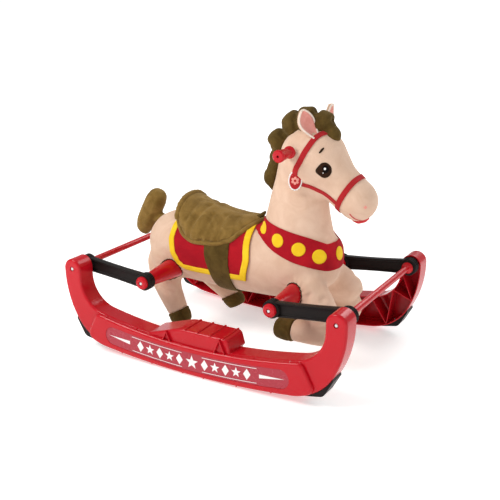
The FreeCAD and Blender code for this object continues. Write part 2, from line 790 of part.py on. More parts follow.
axleEnd = eyeOut + size("armGap") * 0.5
capR = size("capDiameter") / 2
capFace = axleEnd + size("armGap") * 0.5
capTop = capFace + size("capThick")
pegEnd = eyeIn - size("armGap")
pegR = size("pegWide") / 2
pegThin = size("pegNarrow") / 2
shellGap = size("socketGap")


def peg(label, end):
    # a hollow cone that stands off the body and holds the arm away from the plush
    inner = size("pegDepth")
    skin = size("pegWall")
    bore = barR + shellGap
    profile = [(bore, -pegEnd), (pegThin - 1.5, -pegEnd), (pegThin, -pegEnd + 1.5), (pegR, -inner),
               (pegR - skin, -inner), (pegThin - skin, -pegEnd + 12), (bore, -pegEnd + 12)]
    return turned(label, profile, "%d * Sizes.pegReach" % end, "Sizes.pegHeight")


def cap(label):
    profile = [(threadR, -capFace), (capR, -capFace), (capR, -capTop + 5), (capR - 2, -capTop + 2),
               (capR - 6, -capTop), (headR + 1, -capTop), (headR + 1, -capTop + size("screwRecess")),
               (threadR, -capTop + size("screwRecess"))]
    return turned(label, profile, "Sizes.pegReach", "Sizes.pegHeight", kept=False)


def axle(label, end):
    hole = barR - size("barWall")
    profile = [(hole, -axleEnd), (barR, -axleEnd), (barR, axleEnd), (hole, axleEnd)]
    return turned(label, profile, "%d * Sizes.pegReach" % end, "Sizes.pegHeight")


for name, end in ends.items():
    axle("%s_axle" % name, end)
    mirrored("peg_%s_left" % name, peg("peg_%s_right" % name, end))
fourCorners("end_caps", cap("cap"))

axlePlug = turned("axlePlug", [(threadR, -axleEnd), (plugR, -axleEnd), (plugR, -axleEnd + size("plugLength")),
                               (threadR, -axleEnd + size("plugLength"))], kept=False)
copies("axle_plugs", axlePlug, fourPlaces(pegX, pegZ))
capSeat = capTop - size("screwRecess")
capScrew = turned("capScrew", [
    (0, -axleEnd + 20), (threadR, -axleEnd + 20), (threadR, -capSeat), (headR, -capSeat),
    (headR, -capSeat - 1.4), (headR * 0.7, -capSeat - size("screwHeadHeight")),
    (0, -capSeat - size("screwHeadHeight"))], kept=False)
copies("cap_screws", capScrew, fourPlaces(pegX, pegZ))

# ---- frame inside the plush ---------------------------------------------------------------------

beamHalf = size("beamSide") / 2
boardZ = size("boardLevel")
postR = size("postDiameter") / 2
rodR = size("rodDiameter") / 2
rodZ = size("rodHeight")
neckX = size("neckPostLean")

beamBody = newBody("spine_beam")
beamSketch = newSketch(beamBody, "YZ_Plane", "Section", level="-(Sizes.pegReach + Sizes.beamOverrun)",
                       acrossY="Sizes.pegHeight")
addPath(beamSketch, polygon([(-beamHalf, -beamHalf), (beamHalf, -beamHalf), (beamHalf, beamHalf),
                             (-beamHalf, beamHalf)]))
beamBore = beamHalf - size("beamWall")
addPath(beamSketch, polygon([(-beamBore, -beamBore), (beamBore, -beamBore), (beamBore, beamBore),
                             (-beamBore, beamBore)]))
pad(beamBody, beamSketch, "Tube", "2 * (Sizes.pegReach + Sizes.beamOverrun)")
beamHoles = newSketch(beamBody, "XZ_Plane", "AxleHoles", level="0")
for end in (1, -1):
    addCircle(beamHoles, end * pegX, pegZ, barR + shellGap)
pocket(beamBody, beamHoles, "AxleHoles", "Sizes.beamSide * 2", middle=True)

boardBody = newBody("seat_board")
boardSketch = newSketch(boardBody, "XY_Plane", "Outline", level="Sizes.boardLevel")
halfLong, halfWide = size("boardLength") / 2, size("boardWidth") / 2
seatX = -size("seatBehind")
addPath(boardSketch, polygon([(seatX - halfLong, -halfWide), (seatX + halfLong, -halfWide),
                              (seatX + halfLong, halfWide), (seatX - halfLong, halfWide)]))
for sx in (-1, 1):
    addCircle(boardSketch, seatX + sx * size("postReach"), 0, size("screwBore") / 2)
pad(boardBody, boardSketch, "Board", "Sizes.boardThick")


def post(label, x, bottom, top, radius, capped):
    # an upright tube welded on the beam
    body = newBody(label)
    sketch = newSketch(body, "XY_Plane", "Section", level=bottom)
    addCircle(sketch, x, 0, radius)
    pad(body, sketch, "Tube", top)
    bore = newSketch(body, "XY_Plane", "Bore", level=bottom)
    addCircle(bore, x, 0, radius - size("postWall"))
    pocket(body, bore, "Bore", "%s - %s" % (top, capped), reverse=True)
    return body


postHeight = "Sizes.boardLevel - Sizes.pegHeight - Sizes.beamSide / 2"
for label, sx in (("seat_post_front", 1), ("seat_post_rear", -1)):
    body = post(label, seatX + sx * size("postReach"), "Sizes.pegHeight + Sizes.beamSide / 2", postHeight,
                postR, "Sizes.plugLength")
    thread = newSketch(body, "XY_Plane", "Thread", level="Sizes.boardLevel")
    addCircle(thread, seatX + sx * size("postReach"), 0, threadR)
    pocket(body, thread, "Thread", "Sizes.plugLength * 1.2")

boardTop = boardZ + size("boardThick")
boardScrew = turned("boardScrew", [
    (0, -24.0), (threadR, -24.0), (threadR, size("boardThick")), (headR, size("boardThick")),
    (headR * 0.6, size("boardThick") + size("screwHeadHeight")), (0, size("boardThick") + size("screwHeadHeight"))],
    kept=False)
doc.recompute()
boardScrews = []
for sx in (-1, 1):
    copy = boardScrew.Shape.copy()
    copy.rotate(Vector(0, 0, 0), Vector(1, 0, 0), 90)
    copy.translate(Vector(seatX + sx * size("postReach"), 0, boardZ))
    boardScrews.append(copy)
fixed("board_screws", Part.makeCompound(boardScrews))

neckPost = post("neck_post", neckX, "Sizes.pegHeight + Sizes.beamSide / 2",
                "Sizes.rodHeight + Sizes.rodDiameter * 1.5 - Sizes.pegHeight - Sizes.beamSide / 2", postR, "4")
rodHole = newSketch(neckPost, "XZ_Plane", "RodHole", level="0")
addCircle(rodHole, neckX, rodZ, rodR + shellGap)
pocket(neckPost, rodHole, "RodHole", "Sizes.postDiameter * 2", middle=True)

gripIn = size("gripInner")
gripOut = size("gripOuter")
rodEnd = gripOut - 12.0
turned("handle_rod", [(0, -rodEnd), (rodR - 1, -rodEnd), (rodR, -rodEnd + 1), (rodR, rodEnd - 1),
                            (rodR - 1, rodEnd), (0, rodEnd)], "Sizes.neckPostLean", "Sizes.rodHeight")


def grip(label):
    waist, flare = size("gripWaist") / 2, size("gripFlare") / 2
    profile = [(rodR, -gripIn), (flare - 2, -gripIn), (flare, -gripIn - 2), (flare, -gripIn - 7),
               (waist, -gripIn - 12)]
    for step in range(4):
        y = gripIn + 18 + step * 9
        profile += [(waist + step * 0.7, -y), (waist + step * 0.7 - 1.2, -y - 1.5), (waist + step * 0.7, -y - 3)]
    profile += [(flare, -gripOut + 8), (flare, -gripOut + 3), (flare - 3, -gripOut), (3.5, -gripOut),
                (3.5, -rodEnd - 1), (rodR, -rodEnd - 1)]
    return turned(label, profile, "Sizes.neckPostLean", "Sizes.rodHeight")


mirrored("grip_left", grip("grip_right"))

# ---- plush pieces ----------------------------------------------------------------------------------

level = size("torsoLevel")
wide = size("torsoHalfWidth")
tall = size("torsoHalfHeight")
back, chest = size("torsoBack"), size("torsoFront")
clear = size("holeGap")


def ring(centre, slope, halfHigh, halfWide):
    # a rounded section across a soft piece; slope is the piece's direction, in degrees down from +X
    turn = math.radians(slope)
    up = Vector(math.sin(turn), 0, math.cos(turn))
    points = []
    for step in range(12):
        angle = math.radians(step * 30)
        points.append(Vector(*centre) + up * (halfHigh * math.cos(angle)) + Vector(0, halfWide * math.sin(angle), 0))
    curve = Part.BSplineCurve()
    curve.interpolate(points, PeriodicFlag=True)
    return Part.Wire([curve.toShape()])


def soft(sections, grow=0.0):
    # sections are (x, y, z, slope, half height, half width) along the piece, small at both ends
    rings = []
    last = len(sections) - 1
    for index, (x, y, z, slope, high, wideAt) in enumerate(sections):
        turn = math.radians(slope)
        shift = -grow if index == 0 else grow if index == last else 0.0
        centre = (x + shift * math.cos(turn), y, z - shift * math.sin(turn))
        rings.append(ring(centre, slope, high + grow, wideAt + grow))
    return Part.makeLoft(rings, True, False)


def torsoAt(share, high, wideAt, lift):
    return (back + share * (chest - back), 0.0, level + lift, 0.0, high * tall, wideAt * wide)


torsoSections = [torsoAt(*row) for row in (
    (0.0, 0.07, 0.07, 4), (0.02, 0.47, 0.45, 3), (0.06, 0.72, 0.69, 2), (0.12, 0.91, 0.86, 0),
    (0.22, 0.98, 0.96, 0), (0.34, 1.01, 1.0, 0), (0.53, 1.0, 0.99, -3), (0.69, 1.0, 0.96, -1),
    (0.83, 1.01, 0.92, 8), (0.92, 0.85, 0.78, 19), (0.98, 0.59, 0.54, 24), (1.0, 0.11, 0.09, 24))]

neckW = size("neckHalfWidth")
neckSections = [
    (196.0, 0.0, level + 4, -90.0, 99.0, neckW * 1.12), (194.0, 0.0, level + 70, -90.0, 96.0, neckW * 1.13),
    (193.0, 0.0, level + 109, -90.0, 90.0, neckW * 1.05), (190.0, 0.0, level + 149, -90.0, 82.0, neckW * 0.95),
    (188.0, 0.0, level + 199, -90.0, 77.0, neckW * 0.82), (190.0, 0.0, level + 245, -90.0, 72.0, neckW * 0.7)]

headX, headZ = size("headAhead"), size("headHeight")
slope = size("headSlope")
headW, headD = size("headHalfWidth"), size("headHalfDepth")


def headAt(along, high, wideAt, lift=0.0):
    turn = math.radians(slope)
    return (headX + along * math.cos(turn) + lift * math.sin(turn), 0.0,
            headZ - along * math.sin(turn) + lift * math.cos(turn), slope, high * headD, wideAt * headW)


headSections = [headAt(*row) for row in (
    (-88, 0.11, 0.11), (-82, 0.39, 0.40), (-64, 0.71, 0.72), (-32, 0.94, 0.95), (0, 1.0, 1.0),
    (38, 0.90, 0.90), (72, 0.73, 0.76), (108, 0.60, 0.62), (146, 0.55, 0.57), (178, 0.53, 0.54),
    (202, 0.42, 0.42), (216, 0.27, 0.27), (222, 0.09, 0.09))]


def cylinder(radius, start, along, length):
    return Part.makeCylinder(radius, length, Vector(*start), Vector(*along))


def block(low, high):
    return Part.makeBox(high[0] - low[0], high[1] - low[1], high[2] - low[2], Vector(*low))


def prism(points):
    # a side outline pushed through the whole width
    wire = Part.makePolygon([Vector(x, -400, z) for x, z in points + points[:1]])
    return Part.Face(wire).extrude(Vector(0, 800, 0))


# what the plush leaves room for
pegRooms = []
for end in (1, -1):
    pegRooms.append(cylinder(barR + clear, (end * pegX, -openY, pegZ), (0, 1, 0), 2 * openY))
    for side in (1, -1):
        pegRooms.append(Part.makeCone(pegR + clear, pegThin + clear, pegEnd - size("pegDepth"),
                                      Vector(end * pegX, side * size("pegDepth"), pegZ), Vector(0, side, 0)))
inset = beamHalf + clear
beamReach = pegX + size("beamOverrun") + clear
rooms = pegRooms + [
    block((-beamReach, -inset, pegZ - inset), (beamReach, inset, pegZ + inset)),
    block((seatX - halfLong - clear, -halfWide - clear, boardZ - clear),
          (seatX + halfLong + clear, halfWide + clear, boardTop + size("screwHeadHeight") + clear)),
    cylinder(postR + clear, (neckX, 0, pegZ), (0, 0, 1), rodZ + rodR * 3 + clear - pegZ),
    cylinder(rodR + clear, (neckX, -gripIn, rodZ), (0, 1, 0), 2 * gripIn)]
for sx in (-1, 1):
    rooms.append(cylinder(postR + clear, (seatX + sx * size("postReach"), 0, pegZ), (0, 0, 1), boardZ - pegZ))
gripRooms = [cylinder(size("gripFlare") / 2 + clear, (neckX, side * (gripIn - 1.0), rodZ), (0, side, 0), 90.0)
             for side in (-1, 1)]

torso = soft(torsoSections)
neck = soft(neckSections)
head = soft(headSections)
trunk = torso.fuse(neck).cut(head)
fixed("body_plush", trunk.cut(rooms))
fixed("head_plush", head.cut(rooms + gripRooms))

# legs: the hooves are sewn on past the ankle


def leg(label, sections, ankle, shin=None):
    # ankle is (x, z, slope) of the seam where the hoof begins
    whole = soft(sections)
    hoofSections = sections
    if shin:
        whole = whole.fuse(soft(shin))
        hoofSections = shin
    hoofSide = Part.makeBox(400, 400, 400, Vector(0, -200, -200))
    hoofSide.rotate(Vector(0, 0, 0), Vector(0, 1, 0), ankle[2])
    hoofSide.translate(Vector(ankle[0], hoofSections[-1][1], ankle[1]))
    upper = whole.cut([hoofSide, torso] + pegRooms).Solids[0]
    fixed(label, upper)
    hoof = soft(hoofSections, 2.0).common(hoofSide)
    fixed(label.replace("leg", "hoof"), hoof)
    return upper


def rearLeg(label, side, swing):
    sections = [
        (-262 + swing * 0.1, side * 60, 280, 90, 12, 12), (-258 + swing * 0.1, side * 62, 268, 88, 48, 40),
        (-250 + swing * 0.2, side * 66, 230, 84, 66, 46), (-246 + swing * 0.4, side * 76, 180, 72, 50, 44),
        (-228 + swing * 0.7, side * 82, 138, 62, 39, 38), (-208 + swing * 0.9, side * 85, 100, 62, 33, 34),
        (-193 + swing, side * 86, 72, 62, 34, 35), (-183 + swing, side * 86, 52, 62, 28, 29),
        (-179 + swing, side * 86, 44, 62, 10, 10)]
    lifted = [(x, y, z + max(0.0, 140 - z) / 100 * swing * 0.2, sl, hh, ww) for x, y, z, sl, hh, ww in sections]
    anklePoint = lifted[5]
    return leg(label, lifted, (anklePoint[0] + 2, anklePoint[2] - 4, 62))


def frontLeg(label, side, lift):
    upper = [
        (188, side * 60, 262, 36, 14, 14), (202, side * 62, 252, 37, 50, 36), (238, side * 70, 226, 40, 60, 46),
        (276, side * 80, 194 + lift * 0.6, 42, 53, 45), (304, side * 87, 166 + lift, 44, 44, 42),
        (321, side * 88, 150 + lift, 45, 30, 29), (326, side * 88, 145 + lift, 45, 9, 9)]
    shin = [
        (340, side * 88, 122 + lift, 180, 10, 10), (334, side * 88, 121 + lift, 180, 30, 30),
        (310, side * 88, 116 + lift, 180, 39, 38), (270, side * 88, 111 + lift * 0.8, 178, 36, 36),
        (225, side * 88, 108 + lift * 0.6, 178, 33, 34), (185, side * 88, 106 + lift * 0.4, 178, 34, 35),
        (160, side * 88, 105 + lift * 0.3, 178, 33, 34), (150, side * 88, 105 + lift * 0.3, 178, 24, 25),
        (147, side * 88, 105 + lift * 0.3, 178, 9, 9)]
    leg(label, upper, (206, 107 + lift * 0.5, 180), shin)


rearLegs = [rearLeg("rear_leg_right", -1, 0.0), rearLeg("rear_leg_left", 1, 75.0)]
frontLeg("front_leg_right", -1, 0.0)
frontLeg("front_leg_left", 1, 14.0)

# ---- sewn-on trim ------------------------------------------------------------------------------------

trunkNeck = torso.fuse(neck)


def layer(sections, inner, outer, outline):
    # a skin of cloth between two growths of a soft piece, inside a side outline
    skin = soft(sections, outer).cut(soft(sections, inner) if inner else soft(sections))
    return skin.common(prism(outline))


clothOut = size("clothThick")
overCloth = clothOut + size("layerGap")
cloth = layer(torsoSections, 0.0, clothOut, [
    (-190, 460), (-199, 395), (-212, 356), (-216, 325), (-206, 286), (-186, 248), (-150, 229), (56, 229),
    (70, 296), (60, 374), (52, 400), (48, 460)]).cut(pegRooms + rearLegs)
fixed("saddle_cloth", cloth)

saddlePad = layer(torsoSections, overCloth, overCloth + size("saddleThick"), [
    (-188, 470), (-196, 398), (-150, 364), (-104, 335), (-45, 333), (-3, 345), (30, 378), (48, 402), (40, 470)])
cantle = layer(torsoSections, overCloth + 2, overCloth + size("saddleThick") + 22, [
    (-192, 385), (-138, 385), (-134, 470), (-192, 470)]).common(block((-250, -66, 380), (0, 66, 480)))
saddle = saddlePad.fuse(cantle)
fixed("saddle", saddle)

girth = layer(torsoSections, overCloth, overCloth + size("strapThick"), [
    (-82, 150), (-2, 150), (-2, 356), (-82, 356)]).cut(saddle)
fixed("girth_strap", girth)

collarOutline = prism([
    (60, 372), (100, 349), (141, 330), (212, 308), (270, 295), (325, 270), (325, 345), (291, 359), (262, 378),
    (220, 395), (178, 407), (120, 408), (78, 397)])
collar = soft(torsoSections, clothOut).fuse(soft(neckSections, clothOut)).cut(trunkNeck).common(collarOutline)
fixed("collar", collar.cut([cloth, head, saddle]))

# mane, tail, ears
mane = soft([
    (286, 0, 640, 232, 9, 12), (280, 0, 650, 226, 22, 30), (262, 0, 670, 212, 30, 38), (226, 0, 684, 184, 40, 42),
    (176, 0, 672, 158, 42, 40), (132, 0, 636, 132, 38, 36), (108, 0, 590, 112, 32, 32), (96, 0, 545, 98, 26, 27),
    (92, 0, 508, 90, 22, 22), (92, 0, 488, 90, 8, 8)]).cut([head, neck])
fixed("mane", mane.Solids[0])

tail = soft([
    (-382, 0, 296, -58, 10, 10), (-378, 0, 303, -58, 24, 22), (-366, 0, 326, -60, 30, 27), (-346, 0, 364, -62, 31, 28),
    (-327, 0, 400, -64, 31, 28), (-318, 0, 420, -66, 25, 23), (-314, 0, 429, -66, 10, 10)])
tail = tail.fuse(soft([(-360, 0, 352, 12, 12, 12), (-330, 0, 346, 12, 20, 20), (-290, 0, 338, 12, 22, 22)]))
fixed("tail", tail.cut(torso))


def ear(side):
    shape = soft([
        (238, side * 34, 650, -90, 12, 9), (238, side * 40, 668, -88, 22, 11), (236, side * 47, 692, -86, 28, 10),
        (230, side * 53, 716, -82, 18, 8), (226, side * 56, 732, -80, 4, 4)])
    return shape.cut([head, mane])


def eye(side):
    facing = Vector(0.36, side * 0.92, 0.12).normalize()
    ball = size("eyeballDiameter") / 2 * 1.3
    centre = Vector(281, side * 63, 573) - facing * (ball * 0.72)
    return Part.makeSphere(ball, centre).cut(head)


def badge(side):
    disc = cylinder(18.0, (195, side * 50, 535), (0, side, 0), 22.0)
    return disc.cut([soft(headSections, size("clothThick") + size("layerGap")), soft(neckSections, 2.0)])


for name, side in (("right", -1), ("left", 1)):
    fixed("ear_%s" % name, ear(side))
    fixed("eye_%s" % name, eye(side))
    fixed("badge_%s" % name, badge(side))

lip = soft([(322, 0, 447, 8, 4, 8), (338, 0, 440, 8, 10, 22), (360, 0, 436, -6, 11, 24), (378, 0, 441, -20, 9, 16),
            (386, 0, 446, -30, 4, 5)])
fixed("lip", lip.cut(head).Solids[0])


def strapLine(a, b, width):
    # a straight strap seen from the side
    length = math.hypot(b[0] - a[0], b[1] - a[1])
    sx, sz = -(b[1] - a[1]) / length * width / 2, (b[0] - a[0]) / length * width / 2
    return prism([(a[0] + sx, a[1] + sz), (a[0] - sx, a[1] - sz), (b[0] - sx, b[1] - sz), (b[0] + sx, b[1] + sz)])


band = size("bandWidth")
straps = strapLine((274, 682), (188, 519), band).fuse(strapLine((372, 574), (300, 440), band))
straps = straps.fuse(strapLine((190, 528), (322, 462), band * 0.9))
headSkin = soft(headSections, clothOut).cut(head)
bridle = headSkin.common(straps).cut([neck, mane, ear(1), ear(-1)] + gripRooms + [eye(1), eye(-1), lip])
fixed("bridle", bridle)

# ---- finish --------------------------------------------------------------------------------

doc.recompute()
for item in doc.Objects:
    if "Invalid" in item.State or "Error" in item.State:
        raise RuntimeError("%s: %s" % (item.Name, item.State))
os.makedirs("parts", exist_ok=True)
for part in parts:
    if part.Shape.isNull() or not part.Shape.isValid():
        raise RuntimeError(part.Label + " has no valid shape")
    part.Shape.exportStep("parts/%s.step" % part.Label)
    print(part.Label, len(part.Shape.Solids), round(part.Shape.Volume / 1000.0, 1))
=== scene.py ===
import math

import bmesh
import bpy
import numpy as np
from mathutils import Matrix, Vector
from mathutils.bvhtree import BVHTree


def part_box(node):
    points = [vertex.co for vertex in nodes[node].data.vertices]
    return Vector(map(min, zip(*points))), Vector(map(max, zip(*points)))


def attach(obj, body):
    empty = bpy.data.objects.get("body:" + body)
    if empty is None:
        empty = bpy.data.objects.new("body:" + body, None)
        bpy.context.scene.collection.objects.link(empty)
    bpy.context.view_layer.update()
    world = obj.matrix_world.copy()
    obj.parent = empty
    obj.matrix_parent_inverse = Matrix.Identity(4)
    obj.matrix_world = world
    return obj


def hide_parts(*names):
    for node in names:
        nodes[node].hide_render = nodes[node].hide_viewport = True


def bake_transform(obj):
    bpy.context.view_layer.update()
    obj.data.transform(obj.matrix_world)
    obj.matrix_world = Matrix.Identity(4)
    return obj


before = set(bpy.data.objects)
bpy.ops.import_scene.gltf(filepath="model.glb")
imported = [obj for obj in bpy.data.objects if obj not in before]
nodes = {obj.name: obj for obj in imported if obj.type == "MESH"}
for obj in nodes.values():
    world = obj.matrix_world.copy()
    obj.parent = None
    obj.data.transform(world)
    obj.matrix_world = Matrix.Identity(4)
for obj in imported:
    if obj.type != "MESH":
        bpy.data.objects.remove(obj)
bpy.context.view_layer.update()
print("stage: frame loaded,", len(nodes), "nodes")


def middle(name):
    low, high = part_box(name)
    return (low + high) / 2


frontPeg, rearPeg = middle("peg_front_right"), middle("peg_rear_right")
gripCentre = middle("grip_right")
torsoLow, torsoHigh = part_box("body_plush")

# shader groups


def newGroup(name, inputs, outputs):
    group = bpy.data.node_groups.new(name, "ShaderNodeTree")
    for label, value in inputs.items():
        socket = group.interface.new_socket(name=label, in_out="INPUT", socket_type="NodeSocketFloat")
        socket.default_value = value
    group.interface.new_socket(name="Vector", in_out="INPUT", socket_type="NodeSocketVector")
    for label in outputs:
        group.interface.new_socket(name=label, in_out="OUTPUT", socket_type="NodeSocketFloat")
    return group, group.nodes.new("NodeGroupInput"), group.nodes.new("NodeGroupOutput")


def place(tree, kind, **values):
    node = tree.nodes.new(kind)
    for key, value in values.items():
        if key.startswith("in_"):
            node.inputs[key[3:].replace("_", " ")].default_value = value
        else:
            setattr(node, key, value)
    return node


def remap(tree, source, low, high, toLow, toHigh):
    node = place(tree, "ShaderNodeMapRange", in_From_Min=low, in_From_Max=high, in_To_Min=toLow, in_To_Max=toHigh)
    tree.links.new(source, node.inputs["Value"])
    return node.outputs["Result"]


def combine(tree, kind, a, b):
    node = place(tree, "ShaderNodeMath", operation=kind)
    for index, value in enumerate((a, b)):
        if isinstance(value, (int, float)):
            node.inputs[index].default_value = value
        else:
            tree.links.new(value, node.inputs[index])
    return node.outputs[0]


def blendColor(tree, factor, a, b):
    node = place(tree, "ShaderNodeMix", data_type="RGBA", blend_type="MIX")
    if isinstance(factor, (int, float)):
        node.inputs[0].default_value = factor
    else:
        tree.links.new(factor, node.inputs[0])
    for index, value in ((6, a), (7, b)):
        if isinstance(value, tuple):
            node.inputs[index].default_value = value
        else:
            tree.links.new(value, node.inputs[index])
    return node.outputs[2]


def buildNap():
    # short pile: fine fibre height, patches of random tone and painted sheen, lighter where brushed pile would
    # catch the light, and slow colour drift
    group, start, end = newGroup("pileNap", {"Fibre Scale": 900.0, "Patch Scale": 22.0}, ["Shade", "Height"])
    fibre = place(group, "ShaderNodeTexNoise", in_Detail=3.0, in_Roughness=0.7)
    patch = place(group, "ShaderNodeTexNoise", in_Detail=4.0, in_Roughness=0.55, in_Distortion=0.6)
    weaveDots = place(group, "ShaderNodeTexVoronoi", feature="F1")
    for node, label in ((fibre, "Fibre Scale"), (patch, "Patch Scale"), (weaveDots, "Fibre Scale")):
        group.links.new(start.outputs["Vector"], node.inputs["Vector"])
        group.links.new(start.outputs[label], node.inputs["Scale"])
    # patch noise: random tone and painted sheen, blended into the base colour
    soft = remap(group, patch.outputs["Fac"], 0.3, 0.7, 0.0, 0.7)
    fine = remap(group, fibre.outputs["Fac"], 0.25, 0.75, 0.0, 0.3)
    group.links.new(combine(group, "ADD", soft, fine), end.inputs["Shade"])
    height = combine(group, "ADD", fibre.outputs["Fac"], combine(
        group, "MULTIPLY", weaveDots.outputs["Distance"], 0.6))
    group.links.new(height, end.inputs["Height"])
    return group


def buildWeave():
    # over-and-under threads on the piece's own map
    group, start, end = newGroup("threadWeave", {"Threads": 1200.0}, ["Shade", "Height"])
    waves = []
    for axis in ("X", "Y"):
        wave = place(group, "ShaderNodeTexWave", wave_type="BANDS", bands_direction=axis, wave_profile="SIN")
        group.links.new(start.outputs["Vector"], wave.inputs["Vector"])
        group.links.new(start.outputs["Threads"], wave.inputs["Scale"])
        waves.append(wave.outputs["Fac"])
    crossed = combine(group, "MAXIMUM", waves[0], waves[1])
    drift = place(group, "ShaderNodeTexNoise", in_Scale=40.0, in_Detail=3.0)
    group.links.new(start.outputs["Vector"], drift.inputs["Vector"])
    group.links.new(combine(group, "ADD", combine(group, "MULTIPLY", crossed, 0.5), combine(
        group, "MULTIPLY", drift.outputs["Fac"], 0.6)), end.inputs["Shade"])
    group.links.new(crossed, end.inputs["Height"])
    return group


def buildMoulded():
    # moulded plastic: faint ripple, fine scuffs that dull the gloss, dust in a few places
    group, start, end = newGroup("mouldedSkin", {"Ripple Scale": 60.0, "Scuff": 0.5},
                                 ["Shade", "Scuffs", "Height"])
    ripple = place(group, "ShaderNodeTexNoise", in_Detail=2.0, in_Roughness=0.4)
    slow = place(group, "ShaderNodeTexNoise", in_Scale=7.0, in_Detail=3.0)
    scratch = place(group, "ShaderNodeTexNoise", in_Scale=35.0, in_Detail=8.0, in_Roughness=0.75,
                    in_Distortion=1.5)
    for node in (ripple, slow, scratch):
        group.links.new(start.outputs["Vector"], node.inputs["Vector"])
    group.links.new(start.outputs["Ripple Scale"], ripple.inputs["Scale"])
    scuffs = remap(group, scratch.outputs["Fac"], 0.52, 0.75, 0.0, 1.0)
    group.links.new(combine(group, "MULTIPLY", scuffs, start.outputs["Scuff"]), end.inputs["Scuffs"])
    group.links.new(slow.outputs["Fac"], end.inputs["Shade"])
    group.links.new(ripple.outputs["Fac"], end.inputs["Height"])
    return group


napGroup, weaveGroup, mouldedGroup = buildNap(), buildWeave(), buildMoulded()

# materials


def newMaterial(name):
    material = bpy.data.materials.new(name)
    material.use_nodes = True
    tree = material.node_tree
    shader = tree.nodes["Principled BSDF"]
    coords = tree.nodes.new("ShaderNodeTexCoord")
    return material, tree, shader, coords


def setInputs(node, **values):
    for key, value in values.items():
        node.inputs[key.replace("_", " ")].default_value = value
    return node


def useGroup(tree, group, vector, **values):
    node = place(tree, "ShaderNodeGroup", node_tree=group)
    tree.links.new(vector, node.inputs["Vector"])
    return setInputs(node, **values)


def addBump(tree, shader, height, strength, distance):
    bump = place(tree, "ShaderNodeBump", in_Strength=strength, in_Distance=distance)
    tree.links.new(height, bump.inputs["Height"])
    tree.links.new(bump.outputs["Normal"], shader.inputs["Normal"])


def rgb(values):
    return tuple(values) + (1.0,)


def pile(name, dark, light, patch=22.0, sheen=0.35, sheenTint=(1, 0.9, 0.8), strength=0.5):
    material, tree, shader, coords = newMaterial(name)
    nap = useGroup(tree, napGroup, coords.outputs["Object"], Patch_Scale=patch)
    color = blendColor(tree, nap.outputs["Shade"], rgb(dark), rgb(light))
    tree.links.new(color, shader.inputs["Base Color"])
    setInputs(shader, Roughness=0.95, Specular_IOR_Level=0.15, Sheen_Weight=sheen, Sheen_Roughness=0.45,
              Sheen_Tint=rgb(sheenTint))
    addBump(tree, shader, nap.outputs["Height"], strength, 0.0012)
    return material


def woven(name, dark, light, threads, sheen):
    material, tree, shader, coords = newMaterial(name)
    weave = useGroup(tree, weaveGroup, coords.outputs["UV"], Threads=threads)
    tree.links.new(blendColor(tree, weave.outputs["Shade"], rgb(dark), rgb(light)), shader.inputs["Base Color"])
    setInputs(shader, Roughness=0.85, Specular_IOR_Level=0.25, Sheen_Weight=sheen)
    addBump(tree, shader, weave.outputs["Height"], 0.5, 0.0008)
    return material


def moulded(name, dark, light, roughness, coat=0.0, ripple=60.0, metallic=0.0, strength=0.08, shine=0.5):
    material, tree, shader, coords = newMaterial(name)
    skin = useGroup(tree, mouldedGroup, coords.outputs["Object"], Ripple_Scale=ripple)
    tree.links.new(blendColor(tree, skin.outputs["Shade"], rgb(dark), rgb(light)), shader.inputs["Base Color"])
    rough = combine(tree, "ADD", combine(tree, "MULTIPLY", skin.outputs["Scuffs"], 0.18), roughness)
    tree.links.new(rough, shader.inputs["Roughness"])
    setInputs(shader, Specular_IOR_Level=shine, Coat_Weight=coat, Coat_Roughness=0.06, Metallic=metallic)
    addBump(tree, shader, skin.outputs["Height"], strength, 0.002)
    return material


def plywood():
    material, tree, shader, coords = newMaterial("plywood")
    stretch = place(tree, "ShaderNodeMapping", in_Scale=(1.0, 9.0, 9.0))
    tree.links.new(coords.outputs["Object"], stretch.inputs["Vector"])
    grain = place(tree, "ShaderNodeTexNoise", in_Scale=14.0, in_Detail=6.0, in_Distortion=1.2)
    tree.links.new(stretch.outputs["Vector"], grain.inputs["Vector"])
    tree.links.new(blendColor(tree, grain.outputs["Fac"], rgb((0.45, 0.29, 0.15)), rgb((0.8, 0.62, 0.4))),
                   shader.inputs["Base Color"])
    setInputs(shader, Roughness=0.7)
    addBump(tree, shader, grain.outputs["Fac"], 0.2, 0.001)
    return material


